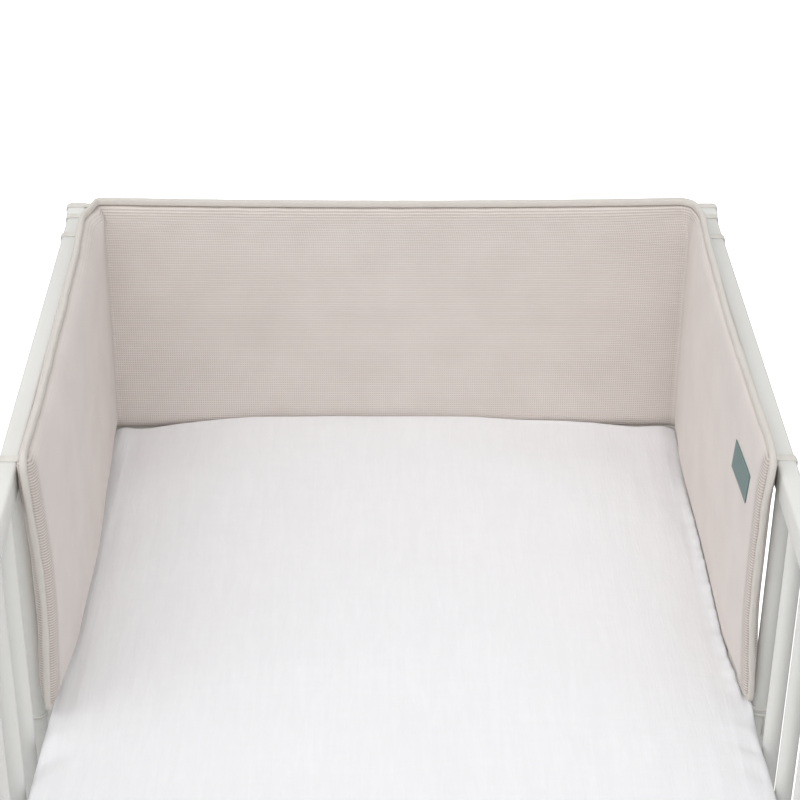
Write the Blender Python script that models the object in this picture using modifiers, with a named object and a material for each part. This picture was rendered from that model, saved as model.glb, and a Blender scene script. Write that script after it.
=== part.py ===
"""Padded crib bumper, hung round the head end of its crib. Metres, +Z up, head end at +Y.

The bumper is one long filled pad that runs along the left side, across the head and back along the
right side. A binding goes round its whole edge, and flat straps hold it to the rails and bars.
"""

import math

import bmesh
import bpy
from mathutils import Vector

# Crib: outer size, and the height of its rails' top above the floor.
CRIB_LENGTH = 1.452
CRIB_WIDTH = 0.760
RAIL_TOP = 0.840
RAIL_WIDTH = 0.019
RAIL_HEIGHT = 0.030
RAIL_ROUND = 0.003
POST_DEPTH = 0.030
POST_PROUD = 0.003
LOW_RAIL_TOP = 0.300
END_RAIL_THICK = 0.020
END_RAIL_INSET = 0.009
BAR_RADIUS = 0.0085
BAR_SUNK = 0.010
BAR_SIDES = 12
LEDGER_THICK = 0.0212
GAP = 0.0003

# Bars of each side, counted from the head, and those of each end. The bars behind the bumper stand
# ahead of the pitch by that much, so that light falls between the last of them and the bar by its end.
SIDE_BARS = {
    "left": {"count": 20, "pitch": 0.0710, "first": 0.0540, "ahead": 0.0},
    "right": {"count": 19, "pitch": 0.0710, "first": 0.0815, "ahead": 0.018},
}
END_BARS = {"count": 9, "pitch": 0.0722}

# Mattress in its fitted sheet. It lies a little to the right, its head end stops in front of the bumper
# and its top is crowned. From SPREAD_FROM to SPREAD_TO, towards the foot, its sides are let out.
MATTRESS_WIDTH = 0.707
MATTRESS_SHIFT = 0.004
MATTRESS_DROP = 0.2935
MATTRESS_THICK = 0.105
MATTRESS_HEAD_GAP = 0.0218
MATTRESS_FOOT_GAP = 0.002
MATTRESS_CROWN = 0.032
CROWN_POWER = 5
MATTRESS_CORNER = 0.013
MATTRESS_EDGE = 0.010
MATTRESS_FOOT_EDGE = 0.006
TOP_RINGS = (0.85, 0.65, 0.42, 0.20, 0.04)
SPREAD = {"left": 0.0085, "right": 0.0040}
SPREAD_FROM = 0.250
SPREAD_TO = 0.0
SPREAD_STEPS = 5
EDGE_STEPS = 4
BASE_THICK = 0.012
BASE_PLAY = 0.003

# Bumper: heights from the rail's top, the binding, and how the pad thins towards its edge.
SIDE_RUN = 0.571
PAD_TOP_CORNER = 0.0245
PAD_TOP_HEAD = 0.0205
PAD_TOP_SIDE = 0.0200
CORNER_RISE_RUN = 0.150
PAD_FOOT = {"left": -0.2875, "right": -0.2892}
HEAD_TUCK = 0.005
RIGHT_END_LIFT = 0.0105
LIFT_RUN = 0.140
CORNER_ROUND = 0.016
BINDING_WIDTH = 0.008
BINDING_THICK = 0.0052
BINDING_CHAMFER = 0.0012
SEAM_PLAY = 0.0008
EDGE_HALF = 0.0022
DRAW_IN = 0.017
BACK_CLEAR = 0.0008
HEAD_EASE_RUN = 0.120
TOP_FROM = 0.82
END_TOP_FROM = {"left": 0.50, "right": 0.78}
END_EASE = 0.130
FOOT_BELOW = 0.45
CROWDING = 0.75

# The pad along each side. run is the distance from the head rail's face; top, body and foot are how
# far in from the side rail's face its middle lies at those levels; half is half its thickness. The body
# line reaches from the share FOOT_BELOW of the height up to TOP_FROM, less far up near the open ends.
SIDE_ROWS = {
    "left": (
        {"run": 0.571, "top": 0.0092, "body": 0.0157, "foot": 0.0098, "half": 0.0098},
        {"run": 0.450, "top": 0.0103, "body": 0.0158, "foot": 0.0188, "half": 0.0110},
        {"run": 0.300, "top": 0.0092, "body": 0.0155, "foot": 0.0210, "half": 0.0118},
        {"run": 0.160, "top": 0.0078, "body": 0.0145, "foot": 0.0170, "half": 0.0116},
        {"run": 0.054, "top": 0.0045, "body": 0.0140, "foot": 0.0145, "half": 0.0110},
        {"run": 0.020, "top": 0.0155, "body": 0.0142, "foot": 0.0142, "half": 0.0108},
    ),
    "right": (
        {"run": 0.571, "top": 0.0080, "body": 0.0120, "foot": 0.0038, "half": 0.0064},
        {"run": 0.530, "top": 0.0070, "body": 0.0096, "foot": 0.0062, "half": 0.0064},
        {"run": 0.450, "top": 0.0085, "body": 0.0082, "foot": 0.0095, "half": 0.0074},
        {"run": 0.300, "top": 0.0100, "body": 0.0080, "foot": 0.0090, "half": 0.0072},
        {"run": 0.120, "top": 0.0068, "body": 0.0098, "foot": 0.0098, "half": 0.0090},
        {"run": 0.054, "top": 0.0050, "body": 0.0080, "foot": 0.0078, "half": 0.0070},
        {"run": 0.020, "top": 0.0090, "body": 0.0072, "foot": 0.0070, "half": 0.0064},
    ),
}
HEAD_ROW = {"top": 0.0110, "body": 0.0110, "foot": 0.0115, "half": 0.0102}
TURN_RADIUS = {
    "left": {"top": 0.005, "body": 0.0125, "foot": 0.0125},
    "right": {"top": 0.019, "body": 0.0105, "foot": 0.0105},
}
DRAW_STEPS = 4
SIDE_STEPS = 11
TURN_STEPS = 6
ROUND_STEPS = 6
END_STEPS = 9
HEAD_STEPS = 14
SECTION_STEPS = 11

# Bare label on the right panel's inner face, seen from inside: its far end is a little lower.
LABEL = {"run": 0.4624, "drop": 0.0645, "length": 0.086, "height": 0.040, "thick": 0.0010}
LABEL_TILT = math.radians(7.0)
LABEL_LEAN = math.radians(15.5)
LABEL_STEPS = 4

# Straps by their distance from the crib's head, over a post or over and under a side rail, where they
# keep clear of the bars, and the low ties.
STRAP_WIDTH = 0.010
STRAP_THICK = 0.0015
POST_STRAP = {"back": 0.0108, "leg": 0.341, "drop": 0.034, "reach": 0.030}
RAIL_STRAPS = (
    {"side": "left", "place": "corner", "over": 0.0392, "under": 0.0392},
    {"side": "left", "place": "mid", "over": 0.0880, "under": 0.0880},
    {"side": "left", "place": "end", "over": 0.5695, "under": 0.5695},
    {"side": "right", "place": "corner", "over": 0.0396, "under": 0.0396},
    {"side": "right", "place": "mid", "over": 0.0928, "under": 0.0960},
    {"side": "right", "place": "end", "over": 0.5695, "under": 0.5640},
)
TIE_BAR = 8
TIE_WIDTH = 0.0035
TIE_THICK = 0.0014
TIES = {
    "left": {"drop": 0.3200, "turns": 0.97, "tail": 0.0},
    "right": {"drop": 0.2910, "turns": 1.29, "tail": 0.022},
}
TIE_PITCH = 0.0065
TIE_BEND = 0.004
TIE_STEPS = 14

HEAD_Y = CRIB_LENGTH / 2
RAIL_FACE = CRIB_WIDTH / 2 - RAIL_WIDTH
RAIL_MIDDLE = CRIB_WIDTH / 2 - RAIL_WIDTH / 2
END_FACE = HEAD_Y - END_RAIL_INSET - END_RAIL_THICK
MATTRESS_TOP = RAIL_TOP - MATTRESS_DROP
MATTRESS_BOTTOM = MATTRESS_TOP - MATTRESS_THICK
MATTRESS_HALF_LENGTH = END_FACE - (MATTRESS_HEAD_GAP + MATTRESS_FOOT_GAP) / 2
MATTRESS_MIDDLE = Vector((MATTRESS_SHIFT, (MATTRESS_FOOT_GAP - MATTRESS_HEAD_GAP) / 2, 0.0))
BUMPER_END = END_FACE - SIDE_RUN
SEAM = BINDING_WIDTH + SEAM_PLAY
BESIDE_RAIL = RAIL_FACE - 0.036
SIGN = {"left": -1, "right": 1}
UP = Vector((0, 0, 1))


def clear_scene():
    for obj in list(bpy.data.objects):
        bpy.data.objects.remove(obj, do_unlink=True)


def new_collection(name):
    collection = bpy.data.collections.new(name)
    bpy.context.scene.collection.children.link(collection)
    return collection


def make_material(name, color, roughness):
    material = bpy.data.materials.new(name)
    material.use_nodes = True
    shader = material.node_tree.nodes["Principled BSDF"]
    shader.inputs["Base Color"].default_value = (*color, 1.0)
    shader.inputs["Roughness"].default_value = roughness
    shader.inputs["Metallic"].default_value = 0.0
    return material


def add_object(name, bm, collection, material, smooth=False):
    """An object of the finished bmesh, with its faces pointing out."""
    bmesh.ops.recalc_face_normals(bm, faces=bm.faces)
    mesh = bpy.data.meshes.new(name)
    bm.to_mesh(mesh)
    bm.free()
    if smooth:
        mesh.shade_smooth()
        mesh.set_sharp_from_angle(angle=math.radians(40))
    obj = bpy.data.objects.new(name, mesh)
    obj.data.materials.append(material)
    collection.objects.link(obj)
    return obj


def add_box(bm, low, high):
    """A cube stretched from corner to corner."""
    made = bmesh.ops.create_cube(bm, size=1.0)["verts"]
    size = [b - a for a, b in zip(low, high)]
    centre = [(a + b) / 2 for a, b in zip(low, high)]
    bmesh.ops.scale(bm, vec=size, verts=made)
    bmesh.ops.translate(bm, vec=centre, verts=made)


def add_bar(bm, x, y, low, high):
    """A round bar that stands from low to high."""
    made = bmesh.ops.create_cone(
        bm, cap_ends=True, segments=BAR_SIDES, radius1=BAR_RADIUS, radius2=BAR_RADIUS, depth=high - low
    )["verts"]
    bmesh.ops.translate(bm, vec=(x, y, (low + high) / 2), verts=made)


def add_bevel(obj):
    bevel = obj.modifiers.new("soft_edges", "BEVEL")
    bevel.width = RAIL_ROUND
    bevel.segments = 2
    bevel.limit_method = "ANGLE"


def loft(bm, rings, closed_run=False):
    """Walls between rings of equal point counts, with a cap on each end of an open run."""
    rows = [[bm.verts.new(point) for point in ring] for ring in rings]
    count = len(rows[0])
    pairs = list(zip(rows, rows[1:]))
    if closed_run:
        pairs.append((rows[-1], rows[0]))
    for a, b in pairs:
        for i in range(count):
            j = (i + 1) % count
            bm.faces.new((a[i], a[j], b[j], b[i]))
    if not closed_run:
        bm.faces.new(rows[0][::-1])
        bm.faces.new(rows[-1])


def smooth_step(t):
    t = min(max(t, 0.0), 1.0)
    return t * t * (3 - 2 * t)


def between(a, b, share):
    return a + (b - a) * share


def side_bar_y(side, number):
    """Where a side's bar stands, counted from 1 at the head."""
    bars = SIDE_BARS[side]
    ahead = bars["ahead"] if number < TIE_BAR else 0.0
    return HEAD_Y - bars["first"] + ahead - bars["pitch"] * (number - 1)


# ---- crib ----


def make_post(name, x_sign, y_sign, collection, material):
    bm = bmesh.new()
    xs = sorted((x_sign * RAIL_FACE, x_sign * (CRIB_WIDTH / 2 + POST_PROUD)))
    ys = sorted((y_sign * (HEAD_Y - POST_DEPTH), y_sign * HEAD_Y))
    add_box(bm, (xs[0], ys[0], 0.0), (xs[1], ys[1], RAIL_TOP))
    add_bevel(add_object(name, bm, collection, material))


def join_bars(name, rails, bars, collection, cutters, material):
    """Rails and bars made one body: the bars' object is the other half of a Boolean union."""
    obj = add_object(name, rails, collection, material)
    add_bevel(obj)
    helper = add_object(name + "_bars", bars, cutters, material)
    helper.hide_render = True
    helper.display_type = "WIRE"
    union = obj.modifiers.new("bars", "BOOLEAN")
    union.operation = "UNION"
    union.object = helper


def make_side(side, collection, cutters, material):
    """A long side between the posts: top rail, bottom rail and its round bars."""
    xs = sorted((SIGN[side] * RAIL_FACE, SIGN[side] * CRIB_WIDTH / 2))
    reach = HEAD_Y - POST_DEPTH - GAP
    rails = bmesh.new()
    for top in (RAIL_TOP, LOW_RAIL_TOP):
        add_box(rails, (xs[0], -reach, top - RAIL_HEIGHT), (xs[1], reach, top))
    bars = bmesh.new()
    for number in range(1, SIDE_BARS[side]["count"] + 1):
        x, y = SIGN[side] * RAIL_MIDDLE, side_bar_y(side, number)
        add_bar(bars, x, y, LOW_RAIL_TOP - BAR_SUNK, RAIL_TOP - RAIL_HEIGHT + BAR_SUNK)
    join_bars("side_" + side, rails, bars, collection, cutters, material)


def make_end(name, y_sign, collection, cutters, material):
    """An end between the posts: top rail, bottom rail and its round bars."""
    ys = sorted((y_sign * END_FACE, y_sign * (END_FACE + END_RAIL_THICK)))
    reach = RAIL_FACE - GAP
    rails = bmesh.new()
    for top in (RAIL_TOP, LOW_RAIL_TOP):
        add_box(rails, (-reach, ys[0], top - RAIL_HEIGHT), (reach, ys[1], top))
    bars = bmesh.new()
    for number in range(END_BARS["count"]):
        x = END_BARS["pitch"] * (number - (END_BARS["count"] - 1) / 2)
        y = y_sign * (END_FACE + END_RAIL_THICK / 2)
        add_bar(bars, x, y, LOW_RAIL_TOP - BAR_SUNK, RAIL_TOP - RAIL_HEIGHT + BAR_SUNK)
    join_bars(name, rails, bars, collection, cutters, material)


def make_ledger(name, y_sign, collection, material):
    """The rail behind an end's bars that the base lies on."""
    bars_front = END_FACE + END_RAIL_THICK / 2 - BAR_RADIUS - GAP
    ys = sorted((y_sign * bars_front, y_sign * (bars_front - LEDGER_THICK)))
    top = MATTRESS_BOTTOM - BASE_THICK - 2 * GAP
    reach = RAIL_FACE - GAP
    bm = bmesh.new()
    add_box(bm, (-reach, ys[0], top - RAIL_HEIGHT), (reach, ys[1], top))
    add_bevel(add_object(name, bm, collection, material))


def make_base(collection, material):
    """The board under the mattress, on the ends' ledgers."""
    bm = bmesh.new()
    top = MATTRESS_BOTTOM - GAP
    reach_x = RAIL_FACE - BASE_PLAY
    reach_y = END_FACE - BASE_PLAY
    add_box(bm, (-reach_x, -reach_y, top - BASE_THICK), (reach_x, reach_y, top))
    add_object("mattress_base", bm, collection, material)


def spread(x, y):
    """(out, up): how far the mattress's side is let out and raised at a point, from its own middle."""
    side = "left" if x < 0 else "right"
    place = y + MATTRESS_MIDDLE.y
    out = SPREAD[side] * smooth_step((SPREAD_FROM - place) / (SPREAD_FROM - SPREAD_TO))
    up = 0.0
    if side == "right":
        up = RIGHT_END_LIFT * smooth_step(1 - (place - BUMPER_END) / LIFT_RUN)
        up += RIGHT_END_LIFT * smooth_step((BUMPER_END - place) / LIFT_RUN)
    return math.copysign(out, x), up


def mattress_outline(half_x, half_y, radius, steps=4):
    """Points of a rectangle with round corners, about the origin, with more points where it spreads."""
    places = [between(SPREAD_FROM, -LIFT_RUN / 4, k / SPREAD_STEPS) for k in range(SPREAD_STEPS + 1)]
    places = [place - MATTRESS_MIDDLE.y for place in places]
    points = []
    for quarter in range(4):
        corner_x = (half_x - radius) * (1 if quarter in (0, 3) else -1)
        corner_y = (half_y - radius) * (1 if quarter in (0, 1) else -1)
        for k in range(steps + 1):
            angle = math.pi / 2 * (quarter + k / steps)
            points.append((corner_x + radius * math.cos(angle), corner_y + radius * math.sin(angle)))
        if quarter == 1:
            points += [(-half_x, place) for place in places]
        if quarter == 3:
            points += [(half_x, place) for place in reversed(places)]
    return points


def mattress_ring(half_x, half_y, radius, drop=0.0):
    """A ring of the mattress's crowned top, let out and raised towards the foot."""
    ring = []
    for x, y in mattress_outline(half_x, half_y, radius):
        out, up = spread(x, y)
        share = min(abs(x) / (MATTRESS_WIDTH / 2), 1.0) ** CROWN_POWER
        height = MATTRESS_TOP + MATTRESS_CROWN * (1 - share) + up * share - drop
        ring.append(Vector((x + out * abs(x) / (MATTRESS_WIDTH / 2), y, height)))
    return ring


def make_mattress(collection, material):
    """The mattress in its sheet: straight walls, round edges and a top that rises to its middle."""
    half_x, half_y = MATTRESS_WIDTH / 2, MATTRESS_HALF_LENGTH
    rings = []
    for inset, rise in ((MATTRESS_FOOT_EDGE, 0.0), (0.0, MATTRESS_FOOT_EDGE)):
        outline = mattress_ring(half_x - inset, half_y - inset, MATTRESS_CORNER - inset)
        rings.append([Vector((point.x, point.y, MATTRESS_BOTTOM + rise)) for point in outline])
    for k in range(EDGE_STEPS + 1):
        angle = math.pi / 2 * k / EDGE_STEPS
        inset = MATTRESS_EDGE * (1 - math.cos(angle))
        drop = MATTRESS_EDGE * (1 - math.sin(angle))
        rings.append(mattress_ring(half_x - inset, half_y - inset, MATTRESS_CORNER - inset, drop))
    inner_x, inner_y = half_x - MATTRESS_EDGE, half_y - MATTRESS_EDGE
    for share in TOP_RINGS:
        radius = MATTRESS_CORNER - MATTRESS_EDGE
        rings.append(mattress_ring(inner_x * share, inner_y - inner_x * (1 - share), radius))
    bm = bmesh.new()
    loft(bm, rings)
    bmesh.ops.translate(bm, vec=MATTRESS_MIDDLE, verts=bm.verts)
    add_object("mattress", bm, collection, material, smooth=True)


# ---- bumper ----


def side_row(side, run):
    """The side's measures at a distance from the head rail's face, between its rows."""
    rows = SIDE_ROWS[side]
    for far, near in zip(rows, rows[1:]):
        if run >= near["run"]:
            share = smooth_step((run - near["run"]) / (far["run"] - near["run"]))
            return {key: between(near[key], far[key], share) for key in near}
    return rows[-1]


def side_line(side, level):
    """Plan points along one side at a level, from its open end to where it starts to turn."""
    start = HEAD_ROW[level] + TURN_RADIUS[side][level]
    runs = [SIDE_RUN]
    for k in range(DRAW_STEPS + 1):
        runs.append(SIDE_RUN - SEAM - DRAW_IN * (1 - math.cos(math.pi / 2 * k / DRAW_STEPS)))
    last = runs[-1]
    runs += [between(last, start, k / SIDE_STEPS) for k in range(1, SIDE_STEPS)]
    insets = [side_row(side, run)[level] for run in runs]
    return [Vector((SIGN[side] * (RAIL_FACE - inset), END_FACE - run)) for inset, run in zip(insets, runs)]


def turn_line(side, level):
    """Plan points of the quarter turn in the crib's corner, from the side to the head."""
    radius = TURN_RADIUS[side][level]
    centre_x = RAIL_FACE - SIDE_ROWS[side][-1][level] - radius
    centre_y = END_FACE - HEAD_ROW[level] - radius
    points = []
    for k in range(TURN_STEPS + 1):
        angle = math.pi / 2 * k / TURN_STEPS
        x = centre_x + radius * math.cos(angle)
        points.append(Vector((SIGN[side] * x, centre_y + radius * math.sin(angle))))
    return points


def plan_line(level):
    """The pad's line in plan at a level: left side, turn, head, turn and right side."""
    left = side_line("left", level) + turn_line("left", level)
    right = side_line("right", level) + turn_line("right", level)
    head = [left[-1].lerp(right[-1], k / HEAD_STEPS) for k in range(1, HEAD_STEPS)]
    return left + head + right[::-1]


def inward(points):
    """At each point of the line in plan, the unit vector towards the crib's middle."""
    found = []
    for i in range(len(points)):
        ahead = points[min(i + 1, len(points) - 1)] - points[max(i - 1, 0)]
        ahead.normalize()
        found.append(Vector((ahead.y, -ahead.x)))
    return found


class Bumper:
    """The pad's middle surface: stations along it, each with its heights and thickness."""

    def __init__(self):
        self.lines = {level: plan_line(level) for level in ("top", "body", "foot")}
        self.normals = inward(self.lines["body"])
        self.run = [0.0]
        body = self.lines["body"]
        for a, b in zip(body, body[1:]):
            self.run.append(self.run[-1] + (b - a).length)
        self.length = self.run[-1]
        self.count = len(body)
        self.rows = [self.station(point) for point in body]

    def station(self, point):
        """Foot and top height, half thickness and start of the top's bend where the pad passes a point."""
        side = "left" if point.x < 0 else "right"
        run = END_FACE - point.y
        turn = TURN_RADIUS[side]["body"]
        if run > HEAD_ROW["body"] + turn:
            rise = smooth_step(1 - run / CORNER_RISE_RUN)
            top = between(PAD_TOP_SIDE, PAD_TOP_CORNER, rise)
            foot = PAD_FOOT[side]
            if side == "right":
                foot += RIGHT_END_LIFT * smooth_step(1 - (SIDE_RUN - run) / LIFT_RUN)
            half = side_row(side, run)["half"]
            bend = between(TOP_FROM, END_TOP_FROM[side], smooth_step(1 - (SIDE_RUN - run) / END_EASE))
        else:
            across = abs(point.x) / RAIL_FACE
            top = between(PAD_TOP_HEAD, PAD_TOP_CORNER, across * across)
            tuck = HEAD_TUCK + PAD_FOOT[side] - PAD_FOOT["left"]
            foot = PAD_FOOT[side] - tuck * smooth_step((HEAD_ROW["body"] + turn - run) / turn)
            bend = TOP_FROM
            ease = smooth_step((RAIL_FACE - abs(point.x)) / HEAD_EASE_RUN)
            half = between(SIDE_ROWS[side][-1]["half"], HEAD_ROW["half"], ease)
        return {"foot": RAIL_TOP + foot, "top": RAIL_TOP + top, "half": half, "bend": bend}

    def middle(self, index, z):
        """The middle surface's point in plan at a station and a height."""
        row = self.rows[index]
        share = (z - row["foot"]) / (row["top"] - row["foot"])
        top = smooth_step((share - row["bend"]) / (1 - row["bend"]))
        foot = smooth_step((FOOT_BELOW - share) / FOOT_BELOW)
        lines = {level: line[index] for level, line in self.lines.items()}
        return lines["top"] * top + lines["foot"] * foot + lines["body"] * (1 - top - foot)

    def from_end(self, index):
        return min(self.run[index], self.length - self.run[index])

    def levels(self, index):
        """Heights of the pad's section at a station, within the binding and its round corners."""
        row = self.rows[index]
        radius = CORNER_ROUND - SEAM
        reach = max(radius - (self.from_end(index) - SEAM), 0.0)
        drop = radius - math.sqrt(max(radius * radius - reach * reach, 0.0))
        low, high = row["foot"] + SEAM + drop, row["top"] - SEAM - drop
        found = []
        for k in range(SECTION_STEPS + 1):
            share = k / SECTION_STEPS
            eased = 0.5 - 0.5 * math.cos(math.pi * share)
            found.append(between(low, high, between(share, eased, CROWDING)))
        return found

    def half(self, index, z):
        """Half thickness at a point: full in the middle, drawn in to the seam at the edge."""
        row = self.rows[index]
        end = self.from_end(index) - SEAM
        rise = min(z - row["foot"], row["top"] - z) - SEAM
        radius = CORNER_ROUND - SEAM
        edge = min(end, rise)
        if end < radius and rise < radius:
            edge = radius - math.hypot(radius - end, radius - rise)
        share = min(max(edge, 0.0) / DRAW_IN, 1.0)
        return EDGE_HALF + (row["half"] - EDGE_HALF) * math.sqrt(1 - (1 - share) ** 2)

    def section(self, index):
        """(inner points, outer points) of the pad at a station, both from the foot up."""
        inner, outer = [], []
        for z in self.levels(index):
            half = self.half(index, z)
            middle = self.middle(index, z)
            room = min(RAIL_FACE - abs(middle.x), END_FACE - middle.y) - BACK_CLEAR
            inner.append(Vector((*(middle + self.normals[index] * half), z)))
            outer.append(Vector((*(middle - self.normals[index] * min(half, room)), z)))
        return inner, outer

    def sections(self):
        spots = [i for i in range(self.count) if self.from_end(i) > BINDING_WIDTH]
        return [self.section(index) for index in spots]


def at_height(points, z):
    """The point of a line from the foot up at height z."""
    for low, high in zip(points, points[1:]):
        if low.z <= z <= high.z:
            return low.lerp(high, (z - low.z) / (high.z - low.z))
    return points[-1]


def pad_x(sections, side, face, y, z):
    """x of one side's inner face (face 0) or outer face (face 1), at y and z."""
    near = [at_height(section[face], z) for section in sections]
    near = [point for point in near if point.x * SIGN[side] > BESIDE_RAIL]
    for a, b in zip(near, near[1:]):
        if min(a.y, b.y) <= y <= max(a.y, b.y):
            return between(a.x, b.x, (y - a.y) / (b.y - a.y))
    return near[0].x


def make_pad(sections, collection, material):
    """One filled pad: a loft of its sections, drawn in at the top, the foot and both ends."""
    bm = bmesh.new()
    loft(bm, [inner + outer[::-1] for inner, outer in sections])
    add_object("pad", bm, collection, material, smooth=True)


def end_corner(bumper, last, upper):
    """The binding's steps round one of the four corners, from the long edge to the end."""
    inset = BINDING_WIDTH / 2
    radius = CORNER_ROUND - inset
    index = bumper.count - 1 if last else 0
    row = bumper.rows[index]
    rise = 1 if upper else -1
    level = row["top"] - CORNER_ROUND if upper else row["foot"] + CORNER_ROUND
    steps = []
    for k in range(ROUND_STEPS + 1):
        angle = math.pi / 2 * (1 - k / ROUND_STEPS)
        z = level + rise * radius * math.sin(angle)
        middle = bumper.middle(index, z)
        place = Vector((middle.x, middle.y + CORNER_ROUND - radius * math.cos(angle), z))
        outward = Vector((0, -math.cos(angle), rise * math.sin(angle)))
        steps.append((place, outward, Vector((*bumper.normals[index], 0))))
    return steps


def end_straight(bumper, last):
    """The binding's steps down one open end, between its two round corners."""
    index = bumper.count - 1 if last else 0
    row = bumper.rows[index]
    high, low = row["top"] - CORNER_ROUND, row["foot"] + CORNER_ROUND
    steps = []
    for k in range(1, END_STEPS):
        z = between(high, low, k / END_STEPS)
        middle = bumper.middle(index, z)
        place = Vector((middle.x, middle.y + BINDING_WIDTH / 2, z))
        steps.append((place, Vector((0, -1, 0)), Vector((*bumper.normals[index], 0))))
    return steps


def binding_track(bumper):
    """(place, outward, across) at each step round the pad's edge, along the binding's middle."""
    inset = BINDING_WIDTH / 2
    inner = [i for i in range(bumper.count) if bumper.from_end(i) > CORNER_ROUND]
    edges = {}
    for name, rise in (("top", 1), ("foot", -1)):
        edges[name] = []
        for index in inner:
            z = bumper.rows[index][name] - rise * inset
            place = Vector((*bumper.middle(index, z), z))
            edges[name].append((place, rise * UP, Vector((*bumper.normals[index], 0))))
    track = edges["top"] + end_corner(bumper, True, True) + end_straight(bumper, True)
    track += end_corner(bumper, True, False)[::-1] + edges["foot"][::-1]
    track += end_corner(bumper, False, False) + end_straight(bumper, False)[::-1]
    return track + end_corner(bumper, False, True)[::-1]


def make_binding(bumper, collection, material):
    """A closed band round the pad's whole edge, with rounded corners."""
    wide, thick, cut = BINDING_WIDTH / 2, BINDING_THICK / 2, BINDING_CHAMFER
    section = ((wide - cut, thick), (wide, thick - cut), (wide, cut - thick), (wide - cut, -thick))
    section += ((-wide, -thick), (-wide, thick))
    rings = []
    for place, outward, across in binding_track(bumper):
        rings.append([place + outward * u + across * v for u, v in section])
    bm = bmesh.new()
    loft(bm, rings, closed_run=True)
    add_object("binding", bm, collection, material, smooth=True)


def make_label(sections, collection, material):
    """A small bare label that lies on the right panel's inner face."""
    centre_y, centre_z = END_FACE - LABEL["run"], RAIL_TOP - LABEL["drop"]
    rings = []
    for i in range(LABEL_STEPS + 1):
        along = LABEL["length"] * (i / LABEL_STEPS - 0.5)
        pad_side = []
        for j in range(LABEL_STEPS):
            up = LABEL["height"] * (j / (LABEL_STEPS - 1) - 0.5)
            y = centre_y + along * math.cos(LABEL_TILT) - up * math.sin(LABEL_LEAN)
            z = centre_z - along * math.sin(LABEL_TILT) + up * math.cos(LABEL_LEAN)
            pad_side.append(Vector((pad_x(sections, "right", 0, y, z) - GAP, y, z)))
        crib_side = [point - Vector((LABEL["thick"], 0, 0)) for point in pad_side]
        rings.append(pad_side + crib_side[::-1])
    bm = bmesh.new()
    loft(bm, rings)
    add_object("label", bm, collection, material)


# ---- straps and ties ----


def add_ribbon(name, track, width, thick, collection, material):
    """A flat ribbon along (place, face, across): face is its outer side, across its width."""
    rings = []
    for place, face, across in track:
        side = across * (width / 2)
        rings.append([place - side, place + side, place + side + face * thick, place - side + face * thick])
    bm = bmesh.new()
    loft(bm, rings)
    add_object(name, bm, collection, material)


def bend_track(sign, y, x, z, angles):
    """Steps of a strap round a rounded edge: (x, z) is the round's middle."""
    track = []
    for angle in angles:
        face = Vector((sign * math.cos(math.radians(angle)), 0, math.sin(math.radians(angle))))
        track.append((Vector((sign * x, y, z)) + face * (RAIL_ROUND + GAP), face, Vector((0, sign, 0))))
    return track


def make_rail_strap(row, sections, collection, material):
    """A strap from the pad's back over the rail, down its outside and under it to the pad again."""
    side, sign = row["side"], SIGN[row["side"]]
    bend_x = CRIB_WIDTH / 2 - RAIL_ROUND
    bend_z = {"over": RAIL_TOP - RAIL_ROUND, "under": RAIL_TOP - RAIL_HEIGHT + RAIL_ROUND}
    runs = {}
    for level, face, angles in (("over", UP, (90, 45, 0)), ("under", -UP, (-90, -45, 0))):
        y, z = HEAD_Y - row[level], bend_z[level] + face.z * (RAIL_ROUND + GAP)
        across = (y - STRAP_WIDTH / 2, y + STRAP_WIDTH / 2)
        start_x = max(abs(pad_x(sections, side, 1, edge, z)) for edge in across) + GAP
        start = (Vector((sign * start_x, y, z)), face, Vector((0, sign, 0)))
        runs[level] = [start] + bend_track(sign, y, bend_x, bend_z[level], angles)
    name = f"strap_{side}_{row['place']}"
    add_ribbon(name, runs["over"] + runs["under"][::-1], STRAP_WIDTH, STRAP_THICK, collection, material)


def make_post_strap(side, sections, collection, material):
    """A strap from the head panel's back, turned on the end rail and laid over the post."""
    sign, y = SIGN[side], HEAD_Y - POST_STRAP["back"]
    over, leg_x = RAIL_TOP + GAP, POST_STRAP["leg"]
    outside = [at_height(section[1], over) for section in sections]
    start_y = max(point.y for point in outside if abs(point.x * sign - leg_x) < POST_STRAP["reach"]) + GAP
    track = [
        (Vector((sign * leg_x, start_y, over)), UP, Vector((-sign, 0, 0))),
        (Vector((sign * leg_x, y, over)), UP, Vector((-sign, 1, 0))),
    ]
    edge_x = CRIB_WIDTH / 2 + POST_PROUD
    for place, face, _ in bend_track(sign, y, edge_x - RAIL_ROUND, RAIL_TOP - RAIL_ROUND, (90, 45, 0)):
        track.append((place, face, Vector((0, 1, 0))))
    foot = Vector((sign * (edge_x + GAP), y, RAIL_TOP - POST_STRAP["drop"]))
    track.append((foot, Vector((sign, 0, 0)), Vector((0, 1, 0))))
    add_ribbon(f"strap_{side}_post", track, STRAP_WIDTH, STRAP_THICK, collection, material)


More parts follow.
